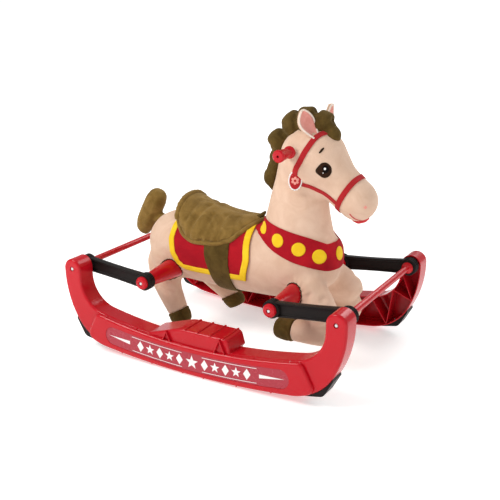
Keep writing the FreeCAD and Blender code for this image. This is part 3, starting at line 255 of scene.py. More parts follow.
looks = {
    "redPlastic": moulded("redPlastic", (0.46, 0.003, 0.010), (0.56, 0.006, 0.016), 0.22, coat=0.08, shine=0.24),
    "redTube": moulded("redTube", (0.46, 0.003, 0.008), (0.56, 0.006, 0.012), 0.24, coat=0.05, ripple=140.0,
                       shine=0.22),
    "labelFilm": moulded("labelFilm", (0.34, 0.012, 0.028), (0.44, 0.030, 0.052), 0.26, coat=0.1, shine=0.4),
    "whitePrint": moulded("whitePrint", (0.80, 0.76, 0.75), (0.90, 0.87, 0.86), 0.4),
    "blackRubber": moulded("blackRubber", (0.006, 0.004, 0.004), (0.014, 0.010, 0.009), 0.40, ripple=700.0,
                           strength=0.3, shine=0.14),
    "greyPlastic": moulded("greyPlastic", (0.2, 0.2, 0.2), (0.3, 0.3, 0.3), 0.6),
    "steel": moulded("steel", (0.5, 0.5, 0.5), (0.7, 0.7, 0.7), 0.28, metallic=1.0, ripple=300.0),
    "blackSteel": moulded("blackSteel", (0.02, 0.02, 0.02), (0.05, 0.05, 0.05), 0.4),
    "plywood": plywood(),
    "peachPlush": pile("peachPlush", (0.66, 0.43, 0.30), (0.80, 0.58, 0.44)),
    "brownPlush": pile("brownPlush", (0.050, 0.028, 0.004), (0.125, 0.076, 0.018), patch=34.0, sheen=0.22,
                       sheenTint=(0.70, 0.52, 0.25), strength=0.6),
    "goldPlush": pile("goldPlush", (0.125, 0.068, 0.011), (0.30, 0.180, 0.048), patch=30.0, sheen=0.30,
                      sheenTint=(0.80, 0.62, 0.35), strength=0.6),
    "pinkPlush": pile("pinkPlush", (0.76, 0.27, 0.22), (0.88, 0.40, 0.34), patch=60.0),
    "creamPlush": pile("creamPlush", (0.82, 0.66, 0.55), (0.92, 0.80, 0.70), patch=60.0),
    # red cloth: its wide dark-to-light range is partly painted shade, dark patches standing in for the shadows of
    # folds, on top of random tone
    "redCloth": pile("redCloth", (0.28, 0.003, 0.012), (0.50, 0.010, 0.018), patch=16.0, sheen=0.10,
                     sheenTint=(1.0, 0.3, 0.3), strength=0.35),
    "yellowCloth": pile("yellowCloth", (0.80, 0.50, 0.010), (0.93, 0.64, 0.03), patch=30.0, sheen=0.1,
                        strength=0.3),
    "redWebbing": woven("redWebbing", (0.34, 0.005, 0.010), (0.52, 0.018, 0.022), 420.0, sheen=0.05),
    # dark stitch for the eye outlines and brows, also used as painted shade for the rings round the pegs
    "darkStitchAndShade": pile("darkStitchAndShade", (0.02, 0.01, 0.005), (0.05, 0.03, 0.015), patch=200.0, sheen=0.1),
    "pinkFelt": pile("pinkFelt", (0.52, 0.02, 0.03), (0.68, 0.06, 0.06), patch=80.0, strength=0.3),
    "irisThread": moulded("irisThread", (0.014, 0.005, 0.002), (0.040, 0.014, 0.005), 0.45, ripple=900.0,
                          strength=0.3, shine=0.08),
    "pupilThread": moulded("pupilThread", (0.003, 0.001, 0.001), (0.007, 0.004, 0.003), 0.4, ripple=900.0,
                           shine=0.06),
    "whiteThread": moulded("whiteThread", (0.85, 0.83, 0.80), (0.95, 0.94, 0.92), 0.5, ripple=900.0),
}


def dress(piece, look):
    piece.data.materials.clear()
    piece.data.materials.append(looks[look])
    return piece


cadLooks = {
    "redPlastic": ["rocker_", "peg_", "end_caps", "grip_"], "redTube": ["front_crossbar", "rear_crossbar"],
    "labelFilm": ["label_"], "blackRubber": ["rubber_stops"], "greyPlastic": ["crossbar_plugs", "axle_plugs"],
    "steel": ["tower_screws", "seam_screws", "stop_screws", "cap_screws", "board_screws", "front_axle",
              "rear_axle"],
    "blackSteel": ["spine_beam", "seat_post", "neck_post", "handle_rod"], "plywood": ["seat_board"]}
for look, starts in cadLooks.items():
    for name, node in nodes.items():
        if any(name.startswith(start) for start in starts):
            dress(node, look)

# modelling helpers


def onlySelect(piece):
    bpy.ops.object.select_all(action="DESELECT")
    piece.select_set(True)
    bpy.context.view_layer.objects.active = piece


def editAll(piece):
    onlySelect(piece)
    bpy.ops.object.mode_set(mode="EDIT")
    bpy.ops.mesh.select_all(action="SELECT")


def turnOutward(piece):
    # makes the faces of a closed piece look outwards
    editAll(piece)
    bpy.ops.mesh.normals_make_consistent(inside=False)
    bpy.ops.object.mode_set(mode="OBJECT")
    return piece


def finished(piece, name, look, body="horse", smooth=True):
    onlySelect(piece)
    bpy.ops.object.transform_apply(location=True, rotation=True, scale=True)
    if smooth:
        bpy.ops.object.shade_smooth()
    piece.name = piece.data.name = name
    dress(piece, look)
    if body:
        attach(piece, body)
    return piece


def applyModifier(piece, kind, **values):
    onlySelect(piece)
    modifier = piece.modifiers.new(kind.lower(), kind)
    for key, value in values.items():
        setattr(modifier, key, value)
    bpy.ops.object.modifier_apply(modifier=modifier.name)
    return piece


def thicken(piece, thickness, offset=1.0):
    return applyModifier(piece, "SOLIDIFY", thickness=thickness, offset=offset)


def refine(piece, levels):
    return applyModifier(piece, "SUBSURF", levels=levels, render_levels=levels)


def stuffedTube(rings, sides=24):
    # a tube through rings of (x, y, z, pitch, half height, half width), each ring drawn out of the last
    bpy.ops.mesh.primitive_circle_add(vertices=sides, radius=1.0, fill_type="NGON")
    piece = bpy.context.object
    editAll(piece)
    for index, (x, y, z, pitch, high, wide) in enumerate(rings):
        if index:
            bpy.ops.mesh.extrude_region()
        mesh = bmesh.from_edit_mesh(piece.data)
        picked = [v for v in mesh.verts if v.select]
        if index == 0:
            around = [tuple(v.co.xy) for v in picked]
        turn = Matrix.Rotation(math.radians(pitch), 3, "Y")
        for (across, up), vertex in zip(around, picked):
            vertex.co = Vector((x, y, z)) + turn @ Vector((0, across * wide, up * high))
        bmesh.update_edit_mesh(piece.data)
    bpy.ops.object.mode_set(mode="OBJECT")
    return turnOutward(piece)


def joined(pieces):
    bpy.ops.object.select_all(action="DESELECT")
    for piece in pieces:
        piece.select_set(True)
    bpy.context.view_layer.objects.active = pieces[0]
    bpy.ops.object.join()
    return pieces[0]


def feltedTogether(pieces, voxel, rounds):
    # overlapping stuffed shapes become one skin with soft junctions
    piece = joined(pieces) if len(pieces) > 1 else pieces[0]
    applyModifier(piece, "REMESH", mode="VOXEL", voxel_size=voxel, adaptivity=0.0)
    applyModifier(piece, "SMOOTH", factor=0.5, iterations=rounds)
    return piece


def readPoints(piece):
    count = len(piece.data.vertices)
    points = np.zeros(count * 3)
    normals = np.zeros(count * 3)
    piece.data.vertices.foreach_get("co", points)
    piece.data.vertices.foreach_get("normal", normals)
    return points.reshape(-1, 3), normals.reshape(-1, 3)


def writePoints(piece, points):
    piece.data.vertices.foreach_set("co", points.astype(np.float32).ravel())
    piece.data.update()


def surfaceOf(*pieces):
    mesh = bmesh.new()
    for piece in pieces:
        mesh.from_mesh(piece.data)
    tree = BVHTree.FromBMesh(mesh)
    mesh.free()
    return tree


def nearest(skin, point):
    spot, normal, _, _ = skin.find_nearest(Vector(point))
    return spot, normal


def evenly(points, step, closed=False):
    # a smooth line through the points, with a point every step
    line = [Vector(p) for p in points]
    if closed:
        line = [line[-1]] + line + [line[0], line[1]]
    else:
        line = [line[0] * 2 - line[1]] + line + [line[-1] * 2 - line[-2]]
    fine = []
    for a, b, c, d in zip(line, line[1:], line[2:], line[3:]):
        for index in range(24):
            t = index / 24
            fine.append(0.5 * ((2 * b) + (c - a) * t + (2 * a - 5 * b + 4 * c - d) * t * t
                               + (3 * b - a - 3 * c + d) * t ** 3))
    fine.append(line[-2].copy())
    run, result = 0.0, [fine[0]]
    for a, b in zip(fine, fine[1:]):
        run += (b - a).length
        if run >= step:
            result.append(b)
            run = 0.0
    if closed:
        return result[:-1] if (result[-1] - result[0]).length < step * 0.6 else result
    if (result[-1] - fine[-1]).length > step * 0.3:
        result.append(fine[-1])
    return result


def gridPiece(rows, closedRows=False, mapSize=(1.0, 1.0)):
    # a sheet through rows of points, mapped by its real size
    count, across = len(rows), len(rows[0])
    bpy.ops.mesh.primitive_grid_add(x_subdivisions=across - 1, y_subdivisions=count - 1, size=2.0)
    piece = bpy.context.object
    for index, vertex in enumerate(piece.data.vertices):
        vertex.co = rows[index // across][index % across]
    for loop in piece.data.loops:
        row, column = divmod(loop.vertex_index, across)
        piece.data.uv_layers[0].data[loop.index].uv = (
            column / (across - 1) * mapSize[0], row / (count - 1) * mapSize[1])
    if closedRows:
        editAll(piece)
        bpy.ops.mesh.remove_doubles(threshold=0.00005)
        bpy.ops.object.mode_set(mode="OBJECT")
    return piece


def faceOut(piece, awayFrom):
    # turns a piece's faces so that most look away from a point
    total = sum((face.center - Vector(awayFrom)).dot(face.normal) * face.area for face in piece.data.polygons)
    if total < 0:
        piece.data.flip_normals()


def ribbon(skin, path, halfWidth, thick, lift=0.0, step=0.006, closed=False, across=8):
    # a strap laid along a path on a skin; halfWidth is a number or a function of the share along it
    points = [nearest(skin, p)[0] for p in evenly(path, step, closed)]
    rows = []
    count = len(points)
    for index, point in enumerate(points):
        before = points[index - 1] if index or closed else point
        after = points[(index + 1) % count] if index + 1 < count or closed else point
        normal = nearest(skin, point)[1]
        side = normal.cross(after - before).normalized()
        share = index / (count - 1)
        half = halfWidth(share) if callable(halfWidth) else halfWidth
        row = []
        for column in range(across + 1):
            part = column / across * 2 - 1
            spot, out = nearest(skin, point + side * half * part)
            row.append(spot + out * lift)
        rows.append(row)
    if closed:
        rows.append([p.copy() for p in rows[0]])
    length = sum((b - a).length for a, b in zip(points, points[1:]))
    width = 2 * (halfWidth(0.5) if callable(halfWidth) else halfWidth)
    piece = gridPiece(rows, closedRows=closed, mapSize=(width, length))
    centre = rows[0][across // 2]
    out = nearest(skin, centre)[1]
    face = min(piece.data.polygons, key=lambda f: (f.center - centre).length)
    if face.normal.dot(out) < 0:
        piece.data.flip_normals()
    thicken(piece, thick)
    applyModifier(piece, "BEVEL", width=min(thick, 0.001) * 0.4, segments=2, limit_method="ANGLE")
    return piece


def patch(skin, centre, radiusAt, thick, lift=0.0, dome=0.0, rings=7, sides=40, turn=0.0, facing=None):
    # a small shape laid on a skin, or flat where it has its own facing; radiusAt gives its edge at each angle,
    # from straight up towards the front
    spot, out = (centre.copy(), facing.normalized()) if facing else nearest(skin, centre)
    up = Vector((0, 0, 1)) - out * out.z
    up.normalize()
    ahead = out.cross(up) if out.y > 0 else up.cross(out)
    bpy.ops.mesh.primitive_circle_add(vertices=sides, radius=1.0, fill_type="NGON")
    piece = bpy.context.object
    editAll(piece)
    for ring in range(rings - 1):
        bpy.ops.mesh.inset(thickness=1.0 / rings * 0.96, use_even_offset=False)
    bpy.ops.object.mode_set(mode="OBJECT")
    for vertex in piece.data.vertices:
        radius = min(1.0, vertex.co.xy.length)
        angle = math.atan2(vertex.co.x, vertex.co.y) if radius > 1e-5 else 0.0
        size = radiusAt(angle) * radius
        at = spot + up * (size * math.cos(angle + turn)) + ahead * (size * math.sin(angle + turn))
        at, normal = (at, out) if facing else nearest(skin, at)
        vertex.co = at + normal * (lift + dome * (1 - radius ** 2))
    turnOutward(piece)
    total = sum(f.normal.dot(out) * f.area for f in piece.data.polygons)
    if total < 0:
        piece.data.flip_normals()
    if thick:
        thicken(piece, thick)
    return piece


def cordAlong(points, radius, closed=False):
    # a round piping or thread through points that already lie where it goes
    curve = bpy.data.curves.new("piping", "CURVE")
    curve.dimensions = "3D"
    curve.bevel_depth = radius
    curve.bevel_resolution = 3
    curve.use_fill_caps = not closed
    spline = curve.splines.new("POLY")
    spline.points.add(len(points) - 1)
    for target, point in zip(spline.points, points):
        target.co = (*point, 1.0)
    spline.use_cyclic_u = closed
    piece = bpy.data.objects.new("piping", curve)
    bpy.context.scene.collection.objects.link(piece)
    onlySelect(piece)
    bpy.ops.object.convert(target="MESH")
    return bpy.context.object


def pressFold(points, normals, line, width, depth):
    # pushes the skin in along a line, with a soft lip either side
    path = np.array([list(p) for p in evenly(line, 0.004)])
    near = np.full(len(points), 1e9)
    for spot in path:
        near = np.minimum(near, ((points - spot) ** 2).sum(axis=1))
    share = np.sqrt(near) / width
    points -= normals * (depth * (np.exp(-share ** 2) - 0.35 * np.exp(-(share - 1.8) ** 2)))[:, None]


def pressDimple(points, normals, centre, radius, depth):
    share = np.sqrt(((points - np.array(centre)) ** 2).sum(axis=1)) / radius
    points -= normals * (depth * np.exp(-share ** 2))[:, None]


def pucker(points, normals, centre, axisY, radius, reach, depth, pleats):
    # small gathers that run out from a round opening
    offset = points - np.array(centre)
    away = np.hypot(offset[:, 0], offset[:, 2])
    angle = np.arctan2(offset[:, 2], offset[:, 0])
    on = (offset[:, 1] * axisY > -0.03) & (np.abs(offset[:, 1]) < 0.08)
    fall = np.clip(1 - (away - radius) / reach, 0, 1) ** 1.5 * on
    wave = np.cos(angle * pleats + 0.8 * np.sin(angle * 3))
    points += normals * (fall * depth * (0.55 * wave - 0.45))[:, None]


def millimetres(rings):
    return [(x / 1000, y / 1000, z / 1000, pitch, high / 1000, wide / 1000)
            for x, y, z, pitch, high, wide in rings]


def mm(*values):
    return Vector(values) / 1000


def mirrored(point, side):
    return Vector((point.x, point.y * side, point.z))


rightLeft = ((1, "Right"), (-1, "Left"))


# stuffed body, neck and head

body = {
    "halfHigh": 0.110, "halfWide": 0.1065, "voxel": 0.006, "softening": 14, "foldDepth": 1.8,
    "pegPucker": (0.030, 0.034, 0.0055, 17),  # radius, reach, depth, pleats
    "gripPucker": (0.017, 0.02, 0.003, 13),
    "rings": [  # share of the length, height, width, lift
        (0.0, 0.20, 0.20, 4), (0.02, 0.47, 0.45, 3), (0.06, 0.72, 0.69, 2), (0.12, 0.91, 0.86, 0),
        (0.22, 0.98, 0.96, 0), (0.34, 1.01, 1.0, 0), (0.53, 1.0, 0.99, -3), (0.69, 1.0, 0.96, -1),
        (0.83, 1.01, 0.92, 8), (0.92, 0.85, 0.78, 19), (0.98, 0.59, 0.54, 24), (1.0, 0.20, 0.18, 24)],
    "neck": [
        (190, 0, 285, -90, 98, 87), (177, 0, 351, -90, 107, 88), (172, 0, 390, -90, 102, 82),
        (173, 0, 430, -90, 93, 74), (176, 0, 480, -90, 84, 66), (181, 0, 526, -90, 76, 58),
        (185, 0, 566, -90, 73, 52), (188, 0, 602, -90, 68, 45), (192, 0, 630, -90, 52, 33)],
    "folds": [  # three points in mm, width, depth
        ((262, 112, 252), (248, 118, 262), (226, 112, 272), 0.007, 0.003),
        ((268, 112, 236), (262, 122, 214), (262, 128, 190), 0.007, 0.003),
        ((318, 82, 262), (316, 98, 240), (306, 110, 222), 0.008, 0.003),
        ((322, 116, 150), (298, 128, 140), (276, 126, 138), 0.006, 0.004),
        ((-300, 84, 262), (-284, 104, 240), (-262, 112, 214), 0.009, 0.0025),
        ((-226, 118, 190), (-214, 116, 172), (-196, 108, 160), 0.007, 0.004),
        ((-250, 116, 176), (-228, 122, 160), (-212, 118, 150), 0.007, 0.0025),
        ((150, 66, 520), (196, 64, 505), (244, 52, 494), 0.008, 0.003),
        ((128, 50, 470), (170, 64, 462), (212, 66, 458), 0.010, 0.0012)]}
head = {
    "centre": (0.212, 0.588), "slope": 35.0, "halfWide": 0.086, "halfDeep": 0.089,
    "rings": [  # distance along the face in mm, depth, width, lift in mm
        (-87, 0.18, 0.18, 0), (-82, 0.39, 0.40, 0), (-64, 0.73, 0.72, 1), (-32, 0.98, 0.95, 3), (0, 1.05, 1.0, 4),
        (38, 0.97, 0.91, 6), (72, 0.80, 0.78, 4), (108, 0.67, 0.65, -1), (148, 0.64, 0.63, -3),
        (182, 0.64, 0.62, -4), (207, 0.54, 0.52, -5), (223, 0.36, 0.35, -5), (230, 0.15, 0.14, -5)]}
level = torsoLow.z + body["halfHigh"]
torsoRings = [(torsoLow.x + share * (torsoHigh.x - torsoLow.x), 0, level + lift / 1000, 0,
               high * body["halfHigh"], wide * body["halfWide"]) for share, high, wide, lift in body["rings"]]
slope = math.radians(head["slope"])
headRings = [(head["centre"][0] + (along * math.cos(slope) + lift * math.sin(slope)) / 1000, 0,
              head["centre"][1] - (along * math.sin(slope) - lift * math.cos(slope)) / 1000, head["slope"],
              high * head["halfDeep"], wide * head["halfWide"]) for along, high, wide, lift in head["rings"]]

torsoAlone = stuffedTube(torsoRings, sides=32)
torsoSkin = surfaceOf(torsoAlone)

# legs and hooves


def rearLegRings(side, swing):
    rings = [
        (-258 + swing * 0.1, side * 62, 268, 88, 46, 40), (-250 + swing * 0.2, side * 66, 230, 84, 64, 46),
        (-246 + swing * 0.4, side * 76, 180, 72, 50, 44), (-226 + swing * 0.7, side * 82, 138, 62, 39, 38),
        (-203 + swing * 0.9, side * 85, 97, 62, 33, 34), (-186 + swing, side * 86, 66, 62, 32, 33),
        (-177 + swing, side * 86, 48, 62, 26, 27)]
    return [(x, y, z + max(0, 140 - z) / 100 * swing * 0.2, *rest) for x, y, z, *rest in rings]


def frontLegRings(side, lift):
    upper = [
        (198, side * 62, 254, 36, 42, 32), (238, side * 70, 226, 40, 59, 45),
        (276, side * 80, 194 + lift * 0.6, 42, 53, 45), (304, side * 87, 166 + lift, 44, 44, 42),
        (318, side * 88, 152 + lift, 45, 30, 29)]
    shin = [
        (334, side * 88, 121 + lift, 180, 28, 28), (310, side * 88, 116 + lift, 180, 38, 37),
        (270, side * 88, 111 + lift * 0.8, 178, 36, 36), (225, side * 88, 108 + lift * 0.6, 178, 33, 34),
        (185, side * 88, 106 + lift * 0.4, 178, 33, 34), (154, side * 88, 105 + lift * 0.3, 178, 28, 29)]
    return upper, shin


legs = {  # side, swing or lift
    "rear_right": (-1, 0.0), "rear_left": (1, 90.0), "front_right": (-1, 0.0), "front_left": (1, 14.0)}


def cutAt(piece, point, direction, keepOuter):
    # keeps what lies on one side of a plane and closes the cut
    editAll(piece)
    bpy.ops.mesh.bisect(plane_co=point, plane_no=direction, use_fill=True, clear_inner=keepOuter,
                        clear_outer=not keepOuter)
    bpy.ops.object.mode_set(mode="OBJECT")
    return piece


legShapes, hoofCuts, thighs = {}, {}, []
for name, (side, change) in legs.items():
    if name.startswith("rear"):
        rings = rearLegRings(side, change)
        shapes = [stuffedTube(millimetres(rings))]
        ankle, pitch = rings[4], 62
        point = mm(ankle[0] + 8, ankle[1], ankle[2] - 15)
    else:
        upper, shin = frontLegRings(side, change)
        shapes = [stuffedTube(millimetres(shin))]
        thighs.append(stuffedTube(millimetres(upper)))
        point, pitch = mm(206, side * 88, 107 + change * 0.5), 180
    onward = Vector((math.cos(math.radians(pitch)), 0, -math.sin(math.radians(pitch))))
    legShapes[name] = feltedTogether(shapes, 0.005, 10)
    hoofCuts[name] = (point, onward)

hoof = {"proud": 0.0022, "hem": 0.003, "voxel": 0.004, "stitch": (0.0016, 0.006, 0.0022), "heel": (0.02, 0.0012)}
for name, (point, onward) in hoofCuts.items():
    end, side = name.split("_")
    sock = legShapes[name].copy()
    sock.data = legShapes[name].data.copy()
    bpy.context.scene.collection.objects.link(sock)
    cutAt(sock, point - onward * hoof["hem"], onward, keepOuter=True)
    applyModifier(sock, "DISPLACE", strength=hoof["proud"], mid_level=0.0)
    feltedTogether([sock], hoof["voxel"], 4)
    points, normals = readPoints(sock)
    spots = (points - np.array(point)) @ np.array(onward)
    depth, along, width = hoof["stitch"]
    points -= normals * (depth * np.exp(-((spots - along) / width) ** 2))[:, None]
    tip = spots.max()
    heel = np.array(point) + np.array(onward) * (tip * 0.55)
    pressDimple(points, normals, heel + np.array([0, 0, 0.03]), *hoof["heel"])
    writePoints(sock, points)
    finished(sock, "hoofSock_%s_%s" % (end, side), "brownPlush")
    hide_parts("%s_hoof_%s" % (end, side))
    cutAt(legShapes[name], point, onward, keepOuter=False)

plush = feltedTogether(
    [torsoAlone, stuffedTube(millimetres(body["neck"]), sides=32), stuffedTube(headRings, sides=32)]
    + thighs + [legShapes[name] for name in legs], body["voxel"], body["softening"])
points, normals = readPoints(plush)
for peg in (frontPeg, rearPeg):
    for side in (-1, 1):
        hole = Vector((peg.x, side * 0.09, peg.z))
        pucker(points, normals, hole, side, *body["pegPucker"])
for side in (-1, 1):
    pucker(points, normals, (gripCentre.x, side * 0.075, gripCentre.z), side, *body["gripPucker"])
    # folds where the front legs bend away from the chest, and behind the thighs
    for *line, width, depth in body["folds"]:
        pressFold(points, normals, [mm(x, side * y, z) for x, y, z in line], width, depth * body["foldDepth"])
writePoints(plush, points)
refine(plush, 1)
finished(plush, "plushBody", "peachPlush")
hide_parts("body_plush", "head_plush", "front_leg_right", "front_leg_left", "rear_leg_right",
            "rear_leg_left")
skin = surfaceOf(plush)
gather = {"radius": 0.0312, "thread": 0.0017, "stitches": 72}
# a dark cord ring round each peg: painted shade in the crease where the gathered plush meets the peg
for end, peg in (("Front", frontPeg), ("Rear", rearPeg)):
    for side, label in ((-1, "Right"), (1, "Left")):
        ring = []
        for step in range(gather["stitches"]):
            angle = 2 * math.pi * step / gather["stitches"]
            reach = gather["radius"] + 0.0007 * math.sin(step * 2.1)
            start = Vector((peg.x + reach * math.cos(angle), side * 0.3, peg.z + reach * math.sin(angle)))
            spot, _, _, _ = skin.ray_cast(start, Vector((0, -side, 0)))
            if spot and abs(spot.y) > 0.05:
                ring.append(spot)
        pegGatherShade = cordAlong(ring, gather["thread"], closed=True)
        finished(pegGatherShade, "pegGatherShade" + end + label, "darkStitchAndShade")
print("stage: stuffed body,", len(plush.data.polygons), "faces")

# saddle cloth, saddle and girth


def between(table, at):
    # reads a table of (place, value) with smooth steps
    if at <= table[0][0]:
        return table[0][1]
    for (a, low), (b, high) in zip(table, table[1:]):
        if at <= b:
            share = (at - a) / (b - a)
            share = share * share * (3 - 2 * share) * 0.5 + share * 0.5
            return low + (high - low) * share
    return table[-1][1]


def aroundBack(x, angle, lift=0.0):
    # a place on the barrel, angle 0 on the spine and growing down the right side
    centre = Vector((x, 0, level))
    away = Vector((0, -math.sin(angle), math.cos(angle)))
    spot, normal, _, _ = torsoSkin.ray_cast(centre + away * 0.5, -away)
    return spot + normal * lift


cloth = {
    "rear": [(0.229, -0.146), (0.233, -0.164), (0.242, -0.180), (0.258, -0.193), (0.282, -0.205), (0.325, -0.213),
             (0.356, -0.211), (0.395, -0.198)],
    "front": [(0.229, 0.056), (0.296, 0.070), (0.374, 0.058), (0.395, 0.050)],
    "lowest": 0.230, "lift": 0.0022, "thick": 0.0022, "over": 0.0045, "rows": 80, "across": 34,
    "binding": {"rear": 0.019, "front": 0.020, "low": 0.018}, "cut": 0.93}
reachAngle = math.acos((cloth["lowest"] - level) / body["halfHigh"])


def clothPoint(share, down, lift):
    angle = down * reachAngle
    z = level + body["halfHigh"] * math.cos(angle)
    rear, front = between(cloth["rear"], z), between(cloth["front"], z)
    return aroundBack(rear + share * (front - rear), angle, lift)


rows = [[clothPoint(column / cloth["across"], row / cloth["rows"] * 2 - 1, cloth["lift"])
         for column in range(cloth["across"] + 1)] for row in range(cloth["rows"] + 1)]
saddleCloth = gridPiece(rows, mapSize=(0.26, 0.5))
faceOut(saddleCloth, (-0.07, 0, level))
thicken(saddleCloth, cloth["thick"])
finished(saddleCloth, "saddleCloth", "redCloth")
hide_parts("saddle_cloth")


def edgeWidth(table, z, width):
    # how far along the horse a binding of that width reaches where its edge slopes
    lean = (between(table, z + 0.003) - between(table, z - 0.003)) / 0.006
    return width * min(2.2, math.hypot(1.0, lean))


def bindingRows(where):
    rows = []
    for row in range(cloth["rows"] + 1):
        down = row / cloth["rows"] * 2 - 1
        z = level + body["halfHigh"] * math.cos(down * reachAngle)
        span = between(cloth["front"], z) - between(cloth["rear"], z)
        share = edgeWidth(cloth[where], z, cloth["binding"][where]) / span
        start = 0.0 if where == "rear" else 1.0 - share
        rows.append([clothPoint(start + share * column / 4, down, cloth["over"]) for column in range(5)])
    return rows


bindings = [("Rear", bindingRows("rear")), ("Front", bindingRows("front"))]
rise = cloth["binding"]["low"] / (reachAngle * body["halfHigh"])
for side, label in ((1, "LowRight"), (-1, "LowLeft")):
    bindings.append((label, [[clothPoint(column / 40, side * (1 - rise * row / 4), cloth["over"] + 0.0002)
                              for column in range(41)] for row in range(5)]))
for label, rows in bindings:
    binding = gridPiece(rows, mapSize=(0.02, 0.3))
    faceOut(binding, (-0.07, 0, level))
    thicken(binding, 0.0012)
    finished(binding, "clothBinding" + label, "yellowCloth")

saddle = {
    "ends": (-0.203, 0.058), "base": 0.0030,
    "reach": [(-0.200, 34), (-0.185, 46), (-0.150, 61), (-0.120, 66), (-0.045, 64), (-0.003, 55), (0.020, 42),
              (0.040, 26), (0.058, 9)],
    "thick": [(-0.203, 0.046), (-0.192, 0.052), (-0.178, 0.048), (-0.152, 0.034), (-0.120, 0.025), (-0.06, 0.015),
              (-0.01, 0.012), (0.030, 0.013), (0.058, 0.012)],
    "rows": 44, "across": 36, "pipe": 0.0072,
    "horn": [(30, 0, 387, -30, 10, 12), (48, 0, 398, -40, 8, 9), (60, 0, 409, -50, 6, 6), (66, 0, 416, -50, 3, 3)],
    "pleats": [  # three points as shares along and across, width, depth
        ((0.34, 0.15), (0.30, 0.55), (0.27, 0.9), 0.008, 0.0062),
        ((0.46, 0.35), (0.45, 0.65), (0.42, 0.95), 0.007, 0.0042),
        ((0.60, 0.30), (0.62, 0.60), (0.62, 0.9), 0.007, 0.0040),
        ((0.74, 0.30), (0.79, 0.65), (0.80, 0.9), 0.006, 0.0022),
        ((0.215, 0.05), (0.205, 0.5), (0.20, 0.95), 0.006, 0.0030)]}


def saddlePoint(along, side, lift):
    x = saddle["ends"][0] + along * (saddle["ends"][1] - saddle["ends"][0])
    angle = math.radians(between(saddle["reach"], x)) * side
    full = between(saddle["thick"], x) - 0.006
    rise = full * (1 - abs(side) ** 3.2) * (1 - (2 * along - 1) ** (36 if along < 0.5 else 12)) + 0.006
    return aroundBack(x, angle, saddle["base"] + lift * rise)


def saddleRows(lift):
    return [[saddlePoint(row / saddle["rows"], column / saddle["across"] * 2 - 1, lift)
             for column in range(saddle["across"] + 1)] for row in range(saddle["rows"] + 1)]


def borderOf(rows):
    return ([row[0] for row in rows] + rows[-1][1:-1] + [row[-1] for row in reversed(rows)]
            + list(reversed(rows[0][1:-1])))


def padFrom(lower, upper):
    # a closed pad between two sheets of points
    piece = gridPiece(lower)
    editAll(piece)
    bpy.ops.mesh.extrude_region()
    mesh = bmesh.from_edit_mesh(piece.data)
    lookup = {tuple(round(c, 6) for c in start): end for row, raisedRow in zip(lower, upper)
              for start, end in zip(row, raisedRow)}
    for vertex in [v for v in mesh.verts if v.select]:
        vertex.co = lookup[tuple(round(c, 6) for c in vertex.co)]
    bmesh.update_edit_mesh(piece.data)
    bpy.ops.object.mode_set(mode="OBJECT")
    return turnOutward(piece)


def puffUp(piece, pressure, frames, cap):
    # blows the pad up as cloth, and keeps every point within cap of where it was
    before, _ = readPoints(piece)
    onlySelect(piece)
    cloth = piece.modifiers.new("cloth", "CLOTH")
    cloth.settings.use_pressure = True
    cloth.settings.uniform_pressure_force = pressure
    cloth.settings.quality = 5
    cloth.settings.tension_stiffness = cloth.settings.compression_stiffness = 12
    cloth.settings.shear_stiffness = 6
    cloth.settings.bending_stiffness = 0.4
    cloth.settings.effector_weights.gravity = 0.0
    cloth.collision_settings.use_collision = False
    cloth.point_cache.frame_start, cloth.point_cache.frame_end = 1, frames
    for step in range(1, frames + 1):
        bpy.context.scene.frame_set(step)
    bpy.ops.object.modifier_apply(modifier=cloth.name)
    bpy.context.scene.frame_set(1)
    after, _ = readPoints(piece)
    moved = after - before
    length = np.linalg.norm(moved, axis=1)
    moved *= (np.minimum(length, cap) / np.maximum(length, 1e-9))[:, None]
    writePoints(piece, before + moved)


lower, upper = saddleRows(0.0), saddleRows(1.0)
saddlePad = padFrom(lower, upper)
feltedTogether([saddlePad], 0.0045, 6)
puffUp(saddlePad, 3.0, 14, 0.006)
points, normals = readPoints(saddlePad)
for side in (-1, 1):
    # pleats that run out from the seat to the edge, and the line under the cantle
    for *line, width, depth in saddle["pleats"]:
        pressFold(points, normals, [saddlePoint(along, side * across, 1) for along, across in line], width, depth)
pressFold(points, normals, [saddlePoint(along, 0, 1) for along in (0.32, 0.6, 0.85)], 0.010, 0.002)
writePoints(saddlePad, points)
refine(saddlePad, 1)
finished(saddlePad, "saddlePad", "goldPlush")
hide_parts("saddle")
rim = [(a + b) / 2 for a, b in zip(borderOf(upper), borderOf(lower))]
rim = evenly(rim[::3], 0.006, closed=True)
piping = cordAlong(rim, saddle["pipe"], closed=True)
finished(piping, "saddlePiping", "goldPlush")
crest = [saddlePoint(0.052, -0.90 + 0.06 * step, 1.0) for step in range(31)]
cantleRoll = feltedTogether([cordAlong(evenly(crest, 0.006), 0.0088)], 0.003, 4)
points, normals = readPoints(cantleRoll)
for spot in crest[2::4]:
    # stitches that pull the roll in
    across = [spot + Vector((-0.014, 0, 0.004)), spot + Vector((0, 0, 0.012)), spot + Vector((0.014, 0, 0.002))]
    pressFold(points, normals, across, 0.0035, 0.0022)
writePoints(cantleRoll, points)
finished(cantleRoll, "cantleRoll", "goldPlush")
saddleHorn = feltedTogether([stuffedTube(millimetres(saddle["horn"]), sides=16)], 0.002, 3)
finished(saddleHorn, "saddleHorn", "brownPlush")

